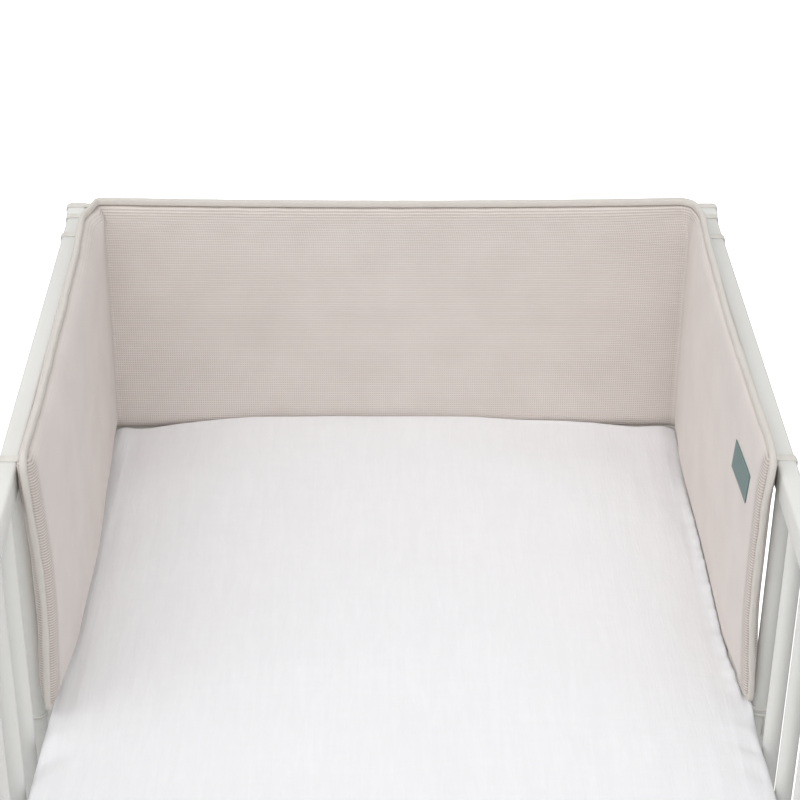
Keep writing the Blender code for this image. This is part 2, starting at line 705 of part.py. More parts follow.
def make_tie(side, collection, material):
    """A narrow tie wound round the bar beside the pad's foot; the right one has a free tail."""
    tie, sign = TIES[side], SIGN[side]
    centre = Vector((sign * RAIL_MIDDLE, side_bar_y(side, TIE_BAR), 0))
    radius = BAR_RADIUS + GAP
    steps = round(TIE_STEPS * tie["turns"])
    track = []
    for k in range(steps + 1):
        turned = tie["turns"] * k / steps
        angle = math.pi + 2 * math.pi * turned
        face = Vector((sign * math.cos(angle), math.sin(angle), 0))
        level = RAIL_TOP - tie["drop"] - TIE_PITCH * turned
        track.append((centre + face * radius + UP * level, face, UP))
    if tie["tail"]:
        place, face, _ = track[-1]
        ahead = Vector((-face.y * sign, face.x * sign, 0)) * sign
        bend = place - UP * TIE_BEND
        for k in (1, 2, 3):
            angle = math.pi / 2 * k / 3
            spoke = ahead * math.sin(angle) + UP * math.cos(angle)
            track.append((bend + spoke * TIE_BEND, face, spoke))
        track.append((bend + ahead * TIE_BEND - UP * tie["tail"], face, ahead))
    add_ribbon("tie_" + side, track, TIE_WIDTH, TIE_THICK, collection, material)


def main():
    clear_scene()
    parts = new_collection("crib_bumper_on_crib")
    cutters = new_collection("cutters")
    paint = make_material("painted_wood", (0.80, 0.80, 0.77), 0.40)
    board = make_material("base_board", (0.70, 0.60, 0.46), 0.60)
    sheet = make_material("fitted_sheet", (0.86, 0.86, 0.88), 0.85)
    cloth = make_material("ribbed_cloth", (0.68, 0.62, 0.58), 0.90)
    band = make_material("binding_cloth", (0.72, 0.68, 0.63), 0.85)
    strap = make_material("strap_cloth", (0.66, 0.62, 0.57), 0.85)
    tag = make_material("label_cloth", (0.13, 0.23, 0.21), 0.75)
    for end, y_sign in (("head", 1), ("foot", -1)):
        for side in SIGN:
            make_post(f"post_{end}_{side}", SIGN[side], y_sign, parts, paint)
        make_end("end_" + end, y_sign, parts, cutters, paint)
        make_ledger("ledger_" + end, y_sign, parts, paint)
    for side in SIGN:
        make_side(side, parts, cutters, paint)
    make_base(parts, board)
    make_mattress(parts, sheet)
    bumper = Bumper()
    sections = bumper.sections()
    make_pad(sections, parts, cloth)
    make_binding(bumper, parts, band)
    make_label(sections, parts, tag)
    for side in SIGN:
        make_post_strap(side, sections, parts, strap)
        make_tie(side, parts, strap)
    for row in RAIL_STRAPS:
        make_rail_strap(row, sections, parts, strap)


main()
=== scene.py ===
"""The looks of the crib bumper, its crib and its mattress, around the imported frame. Metres, +Z up."""

import math

import bmesh
import bpy
import numpy as np
from mathutils import Matrix, Vector
from numpy.linalg import norm


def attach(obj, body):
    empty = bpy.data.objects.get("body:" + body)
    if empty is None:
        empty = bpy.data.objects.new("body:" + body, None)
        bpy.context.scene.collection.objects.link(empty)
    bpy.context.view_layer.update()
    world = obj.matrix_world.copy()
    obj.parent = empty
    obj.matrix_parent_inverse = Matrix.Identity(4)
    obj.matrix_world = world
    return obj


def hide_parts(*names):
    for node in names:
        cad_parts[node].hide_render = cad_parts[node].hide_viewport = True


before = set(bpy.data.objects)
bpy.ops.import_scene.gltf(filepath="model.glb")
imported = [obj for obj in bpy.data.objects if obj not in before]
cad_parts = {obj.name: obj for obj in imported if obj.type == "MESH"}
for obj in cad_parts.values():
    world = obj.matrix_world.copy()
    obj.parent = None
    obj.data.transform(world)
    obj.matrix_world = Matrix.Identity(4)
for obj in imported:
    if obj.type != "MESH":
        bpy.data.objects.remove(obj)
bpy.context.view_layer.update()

# ---- sizes, as in the CAD ----

CRIB_LENGTH = 1.452
CRIB_WIDTH = 0.760
RAIL_TOP = 0.840
RAIL_WIDTH = 0.019
RAIL_HEIGHT = 0.030
RAIL_ROUND = 0.003
POST_DEPTH = 0.030
POST_PROUD = 0.003
LOW_RAIL_TOP = 0.300
END_RAIL_THICK = 0.020
END_RAIL_INSET = 0.009
BAR_RADIUS = 0.0085
BAR_SUNK = 0.010
BAR_SIDES = 32
LEDGER_THICK = 0.0212
GAP = 0.0003
SIDE_BARS = {
    "left": {"count": 20, "pitch": 0.0710, "first": 0.0540, "ahead": 0.0},
    "right": {"count": 19, "pitch": 0.0710, "first": 0.0815, "ahead": 0.018},
}
END_BARS = {"count": 9, "pitch": 0.0722}

MATTRESS_WIDTH = 0.707
MATTRESS_SHIFT = 0.004
MATTRESS_DROP = 0.2935
MATTRESS_THICK = 0.105
MATTRESS_HEAD_GAP = 0.0218
MATTRESS_FOOT_GAP = 0.002
MATTRESS_CROWN = 0.032
CROWN_POWER = 5
MATTRESS_CORNER = 0.013
MATTRESS_EDGE = 0.010
SPREAD = {"left": 0.0085, "right": 0.0040}
SPREAD_FROM = 0.250
SPREAD_TO = 0.0
BASE_THICK = 0.012

SIDE_RUN = 0.571
PAD_TOP_CORNER = 0.0245
PAD_TOP_HEAD = 0.0205
PAD_TOP_SIDE = 0.0200
CORNER_RISE_RUN = 0.150
PAD_FOOT = {"left": -0.2875, "right": -0.2892}
HEAD_TUCK = 0.005
RIGHT_END_LIFT = 0.0105
LIFT_RUN = 0.140
CORNER_ROUND = 0.016
BINDING_WIDTH = 0.008
BINDING_THICK = 0.0052
SEAM_PLAY = 0.0008
EDGE_HALF = 0.0022
DRAW_IN = 0.017
BACK_CLEAR = 0.0008
HEAD_EASE_RUN = 0.120
TOP_FROM = 0.82
END_TOP_FROM = {"left": 0.50, "right": 0.78}
END_EASE = 0.130
FOOT_BELOW = 0.45
CROWDING = 0.75
# The side panels' lines: distance from the head rail's face, inset of the pad's middle at its top, body
# and foot, and half its thickness.
ROW_KEYS = ("run", "top", "body", "foot", "half")
ROW_TABLES = {
    "left": (
        (0.571, 0.0092, 0.0157, 0.0098, 0.0098),
        (0.450, 0.0103, 0.0158, 0.0188, 0.0110),
        (0.300, 0.0092, 0.0155, 0.0210, 0.0118),
        (0.160, 0.0078, 0.0145, 0.0170, 0.0116),
        (0.054, 0.0045, 0.0140, 0.0145, 0.0110),
        (0.020, 0.0155, 0.0142, 0.0142, 0.0108),
    ),
    "right": (
        (0.571, 0.0080, 0.0120, 0.0038, 0.0064),
        (0.530, 0.0070, 0.0096, 0.0062, 0.0064),
        (0.450, 0.0085, 0.0082, 0.0095, 0.0074),
        (0.300, 0.0100, 0.0080, 0.0090, 0.0072),
        (0.120, 0.0068, 0.0098, 0.0098, 0.0090),
        (0.054, 0.0050, 0.0080, 0.0078, 0.0070),
        (0.020, 0.0090, 0.0072, 0.0070, 0.0064),
    ),
}
SIDE_ROWS = {side: [dict(zip(ROW_KEYS, row)) for row in table] for side, table in ROW_TABLES.items()}
HEAD_ROW = {"top": 0.0110, "body": 0.0110, "foot": 0.0115, "half": 0.0102}
TURN_RADIUS = {
    "left": {"top": 0.005, "body": 0.0125, "foot": 0.0125},
    "right": {"top": 0.019, "body": 0.0105, "foot": 0.0105},
}
LABEL = {"run": 0.4624, "drop": 0.0645, "length": 0.086, "height": 0.040, "thick": 0.0010}
LABEL_TILT = math.radians(7.0)
LABEL_LEAN = math.radians(15.5)
STRAP_WIDTH = 0.010
STRAP_THICK = 0.0015
POST_STRAP = {"back": 0.0108, "leg": 0.341, "drop": 0.034, "reach": 0.030}
# Side, place, and distance from the crib's head over and under the rail.
RAIL_STRAPS = (
    ("left", "corner", 0.0392, 0.0392),
    ("left", "mid", 0.0880, 0.0880),
    ("left", "end", 0.5695, 0.5695),
    ("right", "corner", 0.0396, 0.0396),
    ("right", "mid", 0.0928, 0.0960),
    ("right", "end", 0.5695, 0.5640),
)
TIE_BAR = 8
TIE_WIDTH = 0.0035
TIE_THICK = 0.0014
TIES = {
    "left": {"drop": 0.3200, "turns": 0.97, "tail": 0.0},
    "right": {"drop": 0.2910, "turns": 1.29, "tail": 0.022},
}
TIE_PITCH = 0.0065
TIE_BEND = 0.004

HEAD_Y = CRIB_LENGTH / 2
RAIL_FACE = CRIB_WIDTH / 2 - RAIL_WIDTH
RAIL_MIDDLE = CRIB_WIDTH / 2 - RAIL_WIDTH / 2
END_FACE = HEAD_Y - END_RAIL_INSET - END_RAIL_THICK
MATTRESS_TOP = RAIL_TOP - MATTRESS_DROP
MATTRESS_BOTTOM = MATTRESS_TOP - MATTRESS_THICK
MATTRESS_HALF_LENGTH = END_FACE - (MATTRESS_HEAD_GAP + MATTRESS_FOOT_GAP) / 2
MATTRESS_MIDDLE_Y = (MATTRESS_FOOT_GAP - MATTRESS_HEAD_GAP) / 2
BUMPER_END = END_FACE - SIDE_RUN
SEAM = BINDING_WIDTH + SEAM_PLAY
BESIDE_RAIL = RAIL_FACE - 0.036
SIGN = {"left": -1, "right": 1}

# ---- sizes of the looks alone ----

SIDE_STEPS = 150
TURN_STEPS = 14
HEAD_STEPS = 110
INNER_POINTS = 120
OUTER_POINTS = 48
BEND_POINTS = 7
TIE_TURN_POINTS = 48

RIB_PITCH = 0.00315
PIN_PITCH = 0.00265
KNIT_PITCH = 0.0011
# How strongly the cords' relief and their painted shade show on the taut sides, the head, the ends and the
# corners.
RIB_SHADE_AND_RELIEF = {"taut": 0.16, "head": 0.84, "end": 1.84, "corner": 0.5}

# The pad's fuller ends, and its left turn, where the inner faces of side and head are kept apart.
END_DRAW = 0.010
END_BLEND = 0.015
END_FULL = {"half": 0.0016, "run": 0.08}
LEFT_TURN = {"x": -0.300, "run": 0.040, "step": 0.00002}

# The binding's section against the CAD's, and the soft corner of its left turn.
BAND_FULL = {"width": 1.05, "thick": 1.25}
BAND_POINTS = 24
BAND_SQUARE = {"width": 0.75, "thick": 0.62}
BAND_SWELL = 0.05
BAND_TURN = {"back": 0.045, "rounds": 36}

LABEL_GRID = (36, 18)
LABEL_CLEAR = 0.0002
LABEL_SEAM = {"inset": 0.0018, "half": 0.0007, "low": 0.75, "run": 0.004}

# The sheet: its ridge along the right panel's foot, its rise into the bumper's turns and beside the
# right panel's tip, the dips in its head edge, and its walls.
RIDGE = {"half": 0.0090, "crest": 0.0012, "fall": 0.0016, "height": 0.0085}
CORNER_RISE = {"from": 0.295, "run": 0.040, "height": 0.0048, "fall": 0.0045, "limit": 0.3495}
CORNER_FLAT = 0.95
TIP_RISE = {"y": 0.140, "half": 0.032, "from": 0.30, "run": 0.03, "share": 1.5}
# Each dip: side, where it starts, its run, where it ends, its run there and its depth.
HEAD_DIPS = ((1, 0.08, 0.08, 0.27, 0.05, 0.0038), (-1, 0.17, 0.09, 0.318, 0.022, 0.0028))
SHEET_EDGE = 0.030
WALL_TUCK = 0.006
WALL_PLEAT = 0.0012

# The sheet's puffs and dents: x from the mattress's middle, y, reach in x and y, and height.
PUFFS = (
    (0.205, 0.675, 0.110, 0.110, -0.0025),
    (-0.345, 0.062, 0.030, 0.010, -0.0040),
    (-0.350, 0.020, 0.035, 0.012, -0.0035),
    (-0.340, 0.098, 0.030, 0.014, 0.0022),
    (-0.350, -0.040, 0.040, 0.015, -0.0035),
    (0.348, 0.062, 0.022, 0.009, -0.0050),
    (0.345, 0.088, 0.022, 0.011, 0.0030),
    (0.350, 0.020, 0.030, 0.012, -0.0035),
    (0.350, -0.050, 0.040, 0.016, -0.0035),
)

# Each material's own colour and the second one that its weave, wear or grain mixes in. The rib mixes its
# darker second colour in as painted shade in its valleys and as random mottle, and the sheet's two colours
# are painted shade in its creases' hollows and painted light on their crests.
COLORS = {
    "rib": ((0.770, 0.712, 0.678), (0.50, 0.438, 0.402)),
    "knit": ((0.685, 0.652, 0.608), (0.62, 0.578, 0.532)),
    "tape": ((0.79, 0.775, 0.73), (0.64, 0.61, 0.56)),
    "label": ((0.070, 0.160, 0.152), (0.112, 0.205, 0.196)),
    "sheet": ((0.885, 0.885, 0.905), (0.925, 0.925, 0.945)),
    "paint": ((0.800, 0.802, 0.775), (0.775, 0.775, 0.742)),
    "board": ((0.74, 0.62, 0.46), (0.58, 0.45, 0.31)),
}
STITCH_COLOR = (0.24, 0.33, 0.31)
COTTON = {"Sheen_Roughness": 0.6, "Specular_IOR_Level": 0.25}

# Each light: name, place, target, size, energy and beam angle.
LIGHTS = (
    ("key", (-2.4, -0.6, 3.0), (0.0, 0.1, 0.6), 3.0, 26.0, 180),
    ("fill", (0.0, -2.6, 3.0), (0.0, 0.4, 0.65), 3.0, 31.0, 180),
    ("head", (0.1, -1.2, 3.4), (0.05, 0.66, 0.62), 1.2, 1.0, 50),
)
WORLD_STRENGTH = 0.72
FLOOR_GREY = 0.25
CAMERA_YAW, CAMERA_PITCH, CAMERA_ROLL = -0.0222300678, 0.536740122, 0.0102493426
CAMERA_LENS = 94.03
CAMERA_PLACE = (-0.02549, -1.52493, 1.90382)
CAMERA_SHIFT = (-0.01431, 0.00236)

# ---- small tools ----


def smooth(t):
    t = np.clip(t, 0.0, 1.0)
    return t * t * (3 - 2 * t)


def bell(t):
    return np.exp(-(t**2))


def between(a, b, share):
    return a + (b - a) * share


def walked(points):
    """How far along a line each of its points lies."""
    return np.concatenate([[0], np.cumsum(norm(np.diff(points, axis=0), axis=1))])


def finish_piece(obj, node, material):
    """The piece rides on the crib, stands for its CAD node and wears its material."""
    obj.data.materials.clear()
    obj.data.materials.append(material)
    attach(obj, "root")
    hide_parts(node)
    return obj


def new_object(name, data):
    obj = bpy.data.objects.new(name, data)
    bpy.context.scene.collection.objects.link(obj)
    return obj


def skin(name, rings, along, around, strength=1.0, closed_run=False):
    """A closed body over rings (stations x points x 3), with its cloth coordinates in metres.

    along is the distance of each station, around the distance of each point on the ring, and strength a
    value for each point. They are kept on the corners, so that they don't turn back where the skin closes.
    """
    rings = np.asarray(rings, float)
    stations, points = rings.shape[:2]
    s, p = (grid.ravel() for grid in np.indices((stations if closed_run else stations - 1, points)))
    corners = ((s, p), (s, p + 1), (s + 1, p + 1), (s + 1, p))
    along = np.append(along, 2 * along[-1] - along[-2])
    around, strength = (np.broadcast_to(values, (stations, points)) for values in (around, strength))
    around = np.column_stack([around, around[:, -1]])
    strength = np.column_stack([strength, strength[:, 0]])
    around, strength = (np.concatenate([values, values[:1]]) for values in (around, strength))
    faces = np.stack([(a % stations) * points + b % points for a, b in corners], axis=1)
    cloth = np.stack([np.stack([along[a], around[a, b], strength[a, b]], -1) for a, b in corners], axis=1)
    a, b, c, d = (rings.reshape(-1, 3)[faces[:, k]] for k in range(4))
    inside_out = np.sum(a * np.cross(b, c)) + np.sum(a * np.cross(c, d)) < 0
    if inside_out:
        faces, cloth = faces[:, ::-1], cloth[:, ::-1]
    face_list, cloth = faces.tolist(), [cloth.reshape(-1, 3)]
    if not closed_run:
        way = 1 if inside_out else -1
        for station, order in ((0, np.arange(points)[::way]), (stations - 1, np.arange(points)[::-way])):
            face_list.append((station * points + order).tolist())
            here = np.full(points, along[station])
            cloth.append(np.column_stack([here, around[station, order], strength[station, order]]))
    mesh = bpy.data.meshes.new(name)
    mesh.from_pydata(rings.reshape(-1, 3).tolist(), [], face_list)
    attribute = mesh.attributes.new("cloth", "FLOAT_VECTOR", "CORNER")
    attribute.data.foreach_set("vector", np.concatenate(cloth).astype(np.float32).ravel())
    mesh.shade_smooth()
    mesh.validate()
    return new_object(name, mesh)


# ---- materials ----


class Nodes:
    """Short calls for a material's node tree."""

    def __init__(self, name, **look):
        self.material = bpy.data.materials.new(name)
        self.material.use_nodes = True
        self.tree = self.material.node_tree
        self.shader = self.tree.nodes["Principled BSDF"]
        self.fill(self.shader, look)

    def put(self, socket, value):
        if isinstance(value, bpy.types.NodeSocket):
            self.tree.links.new(value, socket)
        else:
            socket.default_value = value

    def fill(self, node, inputs):
        for name, value in inputs.items():
            self.put(node.inputs[name.replace("_", " ")], value)

    def add(self, kind, **inputs):
        node = self.tree.nodes.new(kind)
        self.fill(node, inputs)
        return node

    def math(self, operation, a, b=None, clamp=False):
        node = self.tree.nodes.new("ShaderNodeMath")
        node.operation = operation
        node.use_clamp = clamp
        self.put(node.inputs[0], a)
        if b is not None:
            self.put(node.inputs[1], b)
        return node.outputs[0]

    def times(self, a, b):
        return self.math("MULTIPLY", a, b)

    def plus(self, a, b, clamp=False):
        return self.math("ADD", a, b, clamp)

    def cloth(self):
        """(vector, along, around, strength): the cloth coordinates, whole and in parts."""
        node = self.tree.nodes.new("ShaderNodeAttribute")
        node.attribute_name = "cloth"
        return node.outputs["Vector"], *self.parts(node.outputs["Vector"])

    def parts(self, vector):
        node = self.add("ShaderNodeSeparateXYZ", Vector=vector)
        return [node.outputs[k] for k in range(3)]

    def place(self, scale=(1, 1, 1)):
        """The object's own place in metres, stretched."""
        coordinates = self.tree.nodes.new("ShaderNodeTexCoord")
        return self.add("ShaderNodeMapping", Vector=coordinates.outputs["Object"], Scale=scale).outputs[0]

    def noise(self, vector, scale, detail=2.0, distortion=0.0):
        look = {"Scale": scale, "Detail": detail, "Distortion": distortion}
        return self.add("ShaderNodeTexNoise", Vector=vector, **look).outputs["Fac"]

    def wave(self, coordinate, pitch):
        """0 to 1 and back over each pitch."""
        turned = self.times(coordinate, 2 * math.pi / pitch)
        return self.plus(self.times(self.math("COSINE", turned), 0.5), 0.5)

    def mix(self, share, a, b):
        node = self.tree.nodes.new("ShaderNodeMix")
        node.data_type = "RGBA"
        for socket, value in ((node.inputs[0], share), (node.inputs[6], a), (node.inputs[7], b)):
            self.put(socket, (*value, 1.0) if isinstance(value, tuple) else value)
        return node.outputs[2]

    def ramp(self, value, low, high, to_low=0.0, to_high=1.0):
        span = {"From_Min": low, "From_Max": high, "To_Min": to_low, "To_Max": to_high}
        return self.add("ShaderNodeMapRange", Value=value, **span).outputs[0]

    def finish(self, color, height, strength, distance):
        self.put(self.shader.inputs["Base Color"], color)
        bump = self.add("ShaderNodeBump", Height=height, Strength=strength, Distance=distance)
        self.tree.links.new(bump.outputs[0], self.shader.inputs["Normal"])
        return self.material


def ribbed_cloth():
    """Cotton rib with a row of pinholes between its cords, slightly fuzzy.

    Its valleys and pinholes are painted darker as shade. Up to a strength of 1 the whole relief and that
    painted shade grow, and above it only the painted shade in the valleys deepens further.
    """
    m = Nodes("ribbed_cloth", Roughness=0.92, Sheen_Weight=0.15, **COTTON)
    vector, along, around, strength = m.cloth()
    drift = m.times(m.math("SUBTRACT", m.noise(vector, 55.0), 0.5), 0.0011)
    cord = m.wave(m.plus(around, drift), RIB_PITCH)
    valley = m.math("SUBTRACT", 1.0, cord)
    pin = m.wave(m.plus(along, m.times(drift, 0.8)), PIN_PITCH)
    hole = m.times(m.math("POWER", valley, 1.6), m.math("POWER", pin, 1.5))
    # painted shade: the valleys darkened further where the strength passes 1, at the pad's ends
    end_valley_shade = m.times(m.math("SUBTRACT", strength, 1.0, clamp=True), valley)
    strength = m.math("MINIMUM", strength, 1.0)
    # painted shade: the valleys and pinholes darkened, scaled by the strength
    painted_shade = m.plus(m.times(valley, 0.10), m.times(hole, 0.95))
    painted_shade = m.plus(m.times(painted_shade, strength), m.times(end_valley_shade, 0.85))
    mottle = m.ramp(m.noise(vector, 18.0, 3.0), 0.3, 0.7, 0.0, 0.16)
    shade = m.plus(painted_shade, mottle, clamp=True)
    color = m.mix(shade, *COLORS["rib"])
    height = m.times(m.math("SUBTRACT", cord, m.times(hole, 0.6)), strength)
    fuzz = m.times(m.noise(vector, 900.0, 2.0), 0.35)
    return m.finish(color, m.plus(height, fuzz), 0.55, 0.0005)


def plain_knit():
    """Fine knit of the binding: tiny wales and a stitched line near its inner edge."""
    m = Nodes("binding_cloth", Roughness=0.9, Sheen_Weight=0.12, **COTTON)
    vector, along, around, strength = m.cloth()
    wale = m.wave(along, KNIT_PITCH)
    course = m.wave(around, KNIT_PITCH * 0.8)
    stitch = m.times(m.math("GREATER_THAN", m.wave(along, 0.0032), 0.35), strength)
    mottle = m.ramp(m.noise(vector, 60.0, 3.0), 0.3, 0.7, 0.0, 0.35)
    weave = m.times(m.times(wale, course), 0.18)
    shade = m.plus(m.plus(weave, mottle), m.times(strength, 0.25), clamp=True)
    height = m.math("SUBTRACT", m.times(weave, 1.5), m.times(strength, 0.6))
    height = m.plus(height, m.times(stitch, 0.8))
    return m.finish(m.mix(shade, *COLORS["knit"]), height, 0.4, 0.0006)


def strap_cloth():
    """Narrow woven tape: cross ribs and slight wear."""
    m = Nodes("strap_cloth", Roughness=0.85, Sheen_Weight=0.1, Specular_IOR_Level=0.3)
    vector, along, around, _ = m.cloth()
    rib = m.wave(along, 0.0012)
    yarn = m.wave(around, 0.0009)
    mottle = m.ramp(m.noise(vector, 80.0, 3.0), 0.3, 0.7, 0.0, 0.4)
    shade = m.plus(m.times(m.times(rib, yarn), 0.25), mottle, clamp=True)
    return m.finish(m.mix(shade, *COLORS["tape"]), rib, 0.5, 0.0004)


def label_cloth():
    """Satin-woven label: a fine diagonal and a row of small stitches round its edge."""
    m = Nodes("label_cloth", Roughness=0.62, Sheen_Weight=0.2, Specular_IOR_Level=0.4)
    vector, along, around, strength = m.cloth()
    diagonal = m.wave(m.plus(along, around), 0.0009)
    thread = m.wave(along, 0.00045)
    mottle = m.ramp(m.noise(vector, 120.0, 3.0), 0.3, 0.7, 0.0, 0.3)
    weave = m.plus(m.times(diagonal, 0.35), m.times(thread, 0.2))
    shade = m.plus(weave, mottle, clamp=True)
    color = m.mix(shade, *COLORS["label"])
    dash = m.math("GREATER_THAN", m.wave(m.plus(along, around), 0.0034), 0.4)
    stitch = m.times(dash, strength)
    color = m.mix(m.times(stitch, 0.35), color, STITCH_COLOR)
    return m.finish(color, m.plus(diagonal, m.times(stitch, 1.5)), 0.35, 0.0003)


def sheet_cloth():
    """Crinkled muslin: fine creases that run along the mattress, over a loose plain weave, painted darker
    in their hollows as shade.
    """
    m = Nodes("sheet_cloth", Roughness=0.93, Sheen_Weight=0.1, Sheen_Roughness=0.7, Specular_IOR_Level=0.2)
    warp = m.noise(m.place(), 9.0)
    creased = m.noise(m.place((150.0, 13.0, 40.0)), 1.0, 4.0, 1.1)
    fine = m.noise(m.place((420.0, 60.0, 200.0)), 1.0, 3.0, 0.6)
    across = m.noise(m.place((22.0, 90.0, 40.0)), 1.0, 3.0, 0.8)
    creases = m.plus(creased, m.times(fine, 0.45))
    creases = m.plus(creases, m.times(across, m.times(warp, 0.7)))
    # painted shade: the sheet's colour is darker in the creases' hollows and lighter on their crests
    shade = m.ramp(creases, 0.75, 1.35)
    color = m.mix(shade, *COLORS["sheet"])
    return m.finish(color, creases, 0.30, 0.0018)


def painted_wood():
    """White satin paint: faint brush marks, slightly warmer and duller on its worn spots."""
    m = Nodes("painted_wood", Roughness=0.42, Specular_IOR_Level=0.45)
    worn = m.noise(m.place((6.0, 6.0, 6.0)), 1.0, 4.0)
    brushed = m.noise(m.place((160.0, 9.0, 160.0)), 1.0, 3.0)
    color = m.mix(m.ramp(worn, 0.35, 0.7), *COLORS["paint"])
    m.put(m.shader.inputs["Roughness"], m.ramp(worn, 0.3, 0.7, 0.36, 0.5))
    return m.finish(color, m.plus(brushed, m.times(worn, 0.6)), 0.12, 0.0006)


def base_board():
    """Pale plywood, its grain along the crib."""
    m = Nodes("base_board", Roughness=0.6, Specular_IOR_Level=0.35)
    grain = m.noise(m.place((60.0, 2.2, 60.0)), 1.0, 5.0, 1.5)
    ring = m.wave(m.plus(m.parts(m.place())[0], m.times(grain, 0.05)), 0.045)
    shade = m.plus(m.times(grain, 0.7), m.times(ring, 0.3))
    return m.finish(m.mix(shade, *COLORS["board"]), grain, 0.2, 0.0005)


# ---- crib ----


def rounded_box(bm, xs, ys, zs, steps=3):
    low, high = ([pick(span) for span in (xs, ys, zs)] for pick in (min, max))
    made = bmesh.ops.create_cube(bm, size=1.0)["verts"]
    bmesh.ops.scale(bm, vec=[b - a for a, b in zip(low, high)], verts=made)
    bmesh.ops.translate(bm, vec=[(a + b) / 2 for a, b in zip(low, high)], verts=made)
    edges = list({edge for vert in made for edge in vert.link_edges})
    bmesh.ops.bevel(bm, geom=edges, offset=RAIL_ROUND, segments=steps, profile=0.5, affect="EDGES")


def soft_edges(mesh):
    mesh.shade_smooth()
    mesh.set_sharp_from_angle(angle=math.radians(32))


def from_bmesh(name, bm):
    bmesh.ops.recalc_face_normals(bm, faces=bm.faces)
    mesh = bpy.data.meshes.new(name)
    bm.to_mesh(mesh)
    bm.free()
    return new_object(name, mesh)


def join_bars(name, rails, bars):
    """Rails and bars as one closed body."""
    obj, helper = from_bmesh(name, rails), from_bmesh(name + "_bars", bars)
    union = obj.modifiers.new("join", "BOOLEAN")
    union.object = helper
    union.operation = "UNION"
    union.solver = "EXACT"
    shown = obj.evaluated_get(bpy.context.evaluated_depsgraph_get())
    mesh = bpy.data.meshes.new_from_object(shown)
    obj.modifiers.clear()
    obj.data = mesh
    bpy.data.objects.remove(helper, do_unlink=True)
    soft_edges(mesh)
    return obj


def side_bar_y(side, number):
    bars = SIDE_BARS[side]
    ahead = bars["ahead"] if number < TIE_BAR else 0.0
    return HEAD_Y - bars["first"] + ahead - bars["pitch"] * (number - 1)


def add_bar(bm, x, y):
    low, high = LOW_RAIL_TOP - BAR_SUNK, RAIL_TOP - RAIL_HEIGHT + BAR_SUNK
    made = bmesh.ops.create_cone(
        bm, cap_ends=True, segments=BAR_SIDES, radius1=BAR_RADIUS, radius2=BAR_RADIUS, depth=high - low
    )["verts"]
    bmesh.ops.translate(bm, vec=(x, y, (low + high) / 2), verts=made)


def make_panel(name, xs, ys, bar_places, material):
    """Two rails and the bars between them."""
    rails, bars = bmesh.new(), bmesh.new()
    for top in (RAIL_TOP, LOW_RAIL_TOP):
        rounded_box(rails, xs, ys, (top - RAIL_HEIGHT, top))
    for x, y in bar_places:
        add_bar(bars, x, y)
    finish_piece(join_bars("crib_" + name, rails, bars), name, material)


def make_side(side, material):
    sign, reach = SIGN[side], HEAD_Y - POST_DEPTH - GAP
    numbers = range(1, SIDE_BARS[side]["count"] + 1)
    bars = [(sign * RAIL_MIDDLE, side_bar_y(side, number)) for number in numbers]
    make_panel("side_" + side, (sign * RAIL_FACE, sign * CRIB_WIDTH / 2), (-reach, reach), bars, material)


def make_end(end, y_sign, material):
    reach, middle = RAIL_FACE - GAP, (END_BARS["count"] - 1) / 2
    bar_y = y_sign * (END_FACE + END_RAIL_THICK / 2)
    bars = [(END_BARS["pitch"] * (number - middle), bar_y) for number in range(END_BARS["count"])]
    ys = (y_sign * END_FACE, y_sign * (END_FACE + END_RAIL_THICK))
    make_panel("end_" + end, (-reach, reach), ys, bars, material)


def make_block(name, xs, ys, zs, material):
    """A lone piece of the frame with soft edges."""
    bm = bmesh.new()
    rounded_box(bm, xs, ys, zs, 4)
    obj = from_bmesh("crib_" + name, bm)
    soft_edges(obj.data)
    finish_piece(obj, name, material)


def make_post(end, side, y_sign, material):
    xs = (SIGN[side] * RAIL_FACE, SIGN[side] * (CRIB_WIDTH / 2 + POST_PROUD))
    ys = (y_sign * (HEAD_Y - POST_DEPTH), y_sign * HEAD_Y)
    make_block(f"post_{end}_{side}", xs, ys, (0.0, RAIL_TOP), material)


def make_ledger(end, y_sign, material):
    bars_front = END_FACE + END_RAIL_THICK / 2 - BAR_RADIUS - GAP
    ys = (y_sign * bars_front, y_sign * (bars_front - LEDGER_THICK))
    top, reach = MATTRESS_BOTTOM - BASE_THICK - 2 * GAP, RAIL_FACE - GAP
    make_block("ledger_" + end, (-reach, reach), ys, (top - RAIL_HEIGHT, top), material)


# ---- mattress ----


def spread(x, y):
    """(out, up): how far the mattress's side is let out and raised at points, from its own middle."""
    place = y + MATTRESS_MIDDLE_Y
    t = smooth((SPREAD_FROM - place) / (SPREAD_FROM - SPREAD_TO))
    out = np.where(x < 0, -SPREAD["left"], SPREAD["right"]) * t
    up = RIGHT_END_LIFT * smooth(1 - (place - BUMPER_END) / LIFT_RUN)
    up = up + RIGHT_END_LIFT * smooth((BUMPER_END - place) / LIFT_RUN)
    return out, np.where(x < 0, 0.0, up)


def spaced(half, edge, edge_steps, steps):
    """Places from -half to half, closer together within the edge at both ends."""
    near = half - edge * np.sin(np.linspace(math.pi / 2, 0, edge_steps + 1))
    middle = np.linspace(-(half - edge), half - edge, steps + 1)
    return np.concatenate([-near[::-1], middle[1:-1], near])


def ripple(x, y, seed, low, high, count=14):
    """A smooth random field of about unit height, from waves between two lengths."""
    rng = np.random.default_rng(seed)
    total = np.zeros_like(x)
    for _ in range(count):
        length = rng.uniform(low, high)
        angle = rng.uniform(0, math.pi)
        phase = rng.uniform(0, 2 * math.pi)
        total += np.sin((x * math.cos(angle) + y * math.sin(angle)) * 2 * math.pi / length + phase)
    return total / math.sqrt(count / 2)


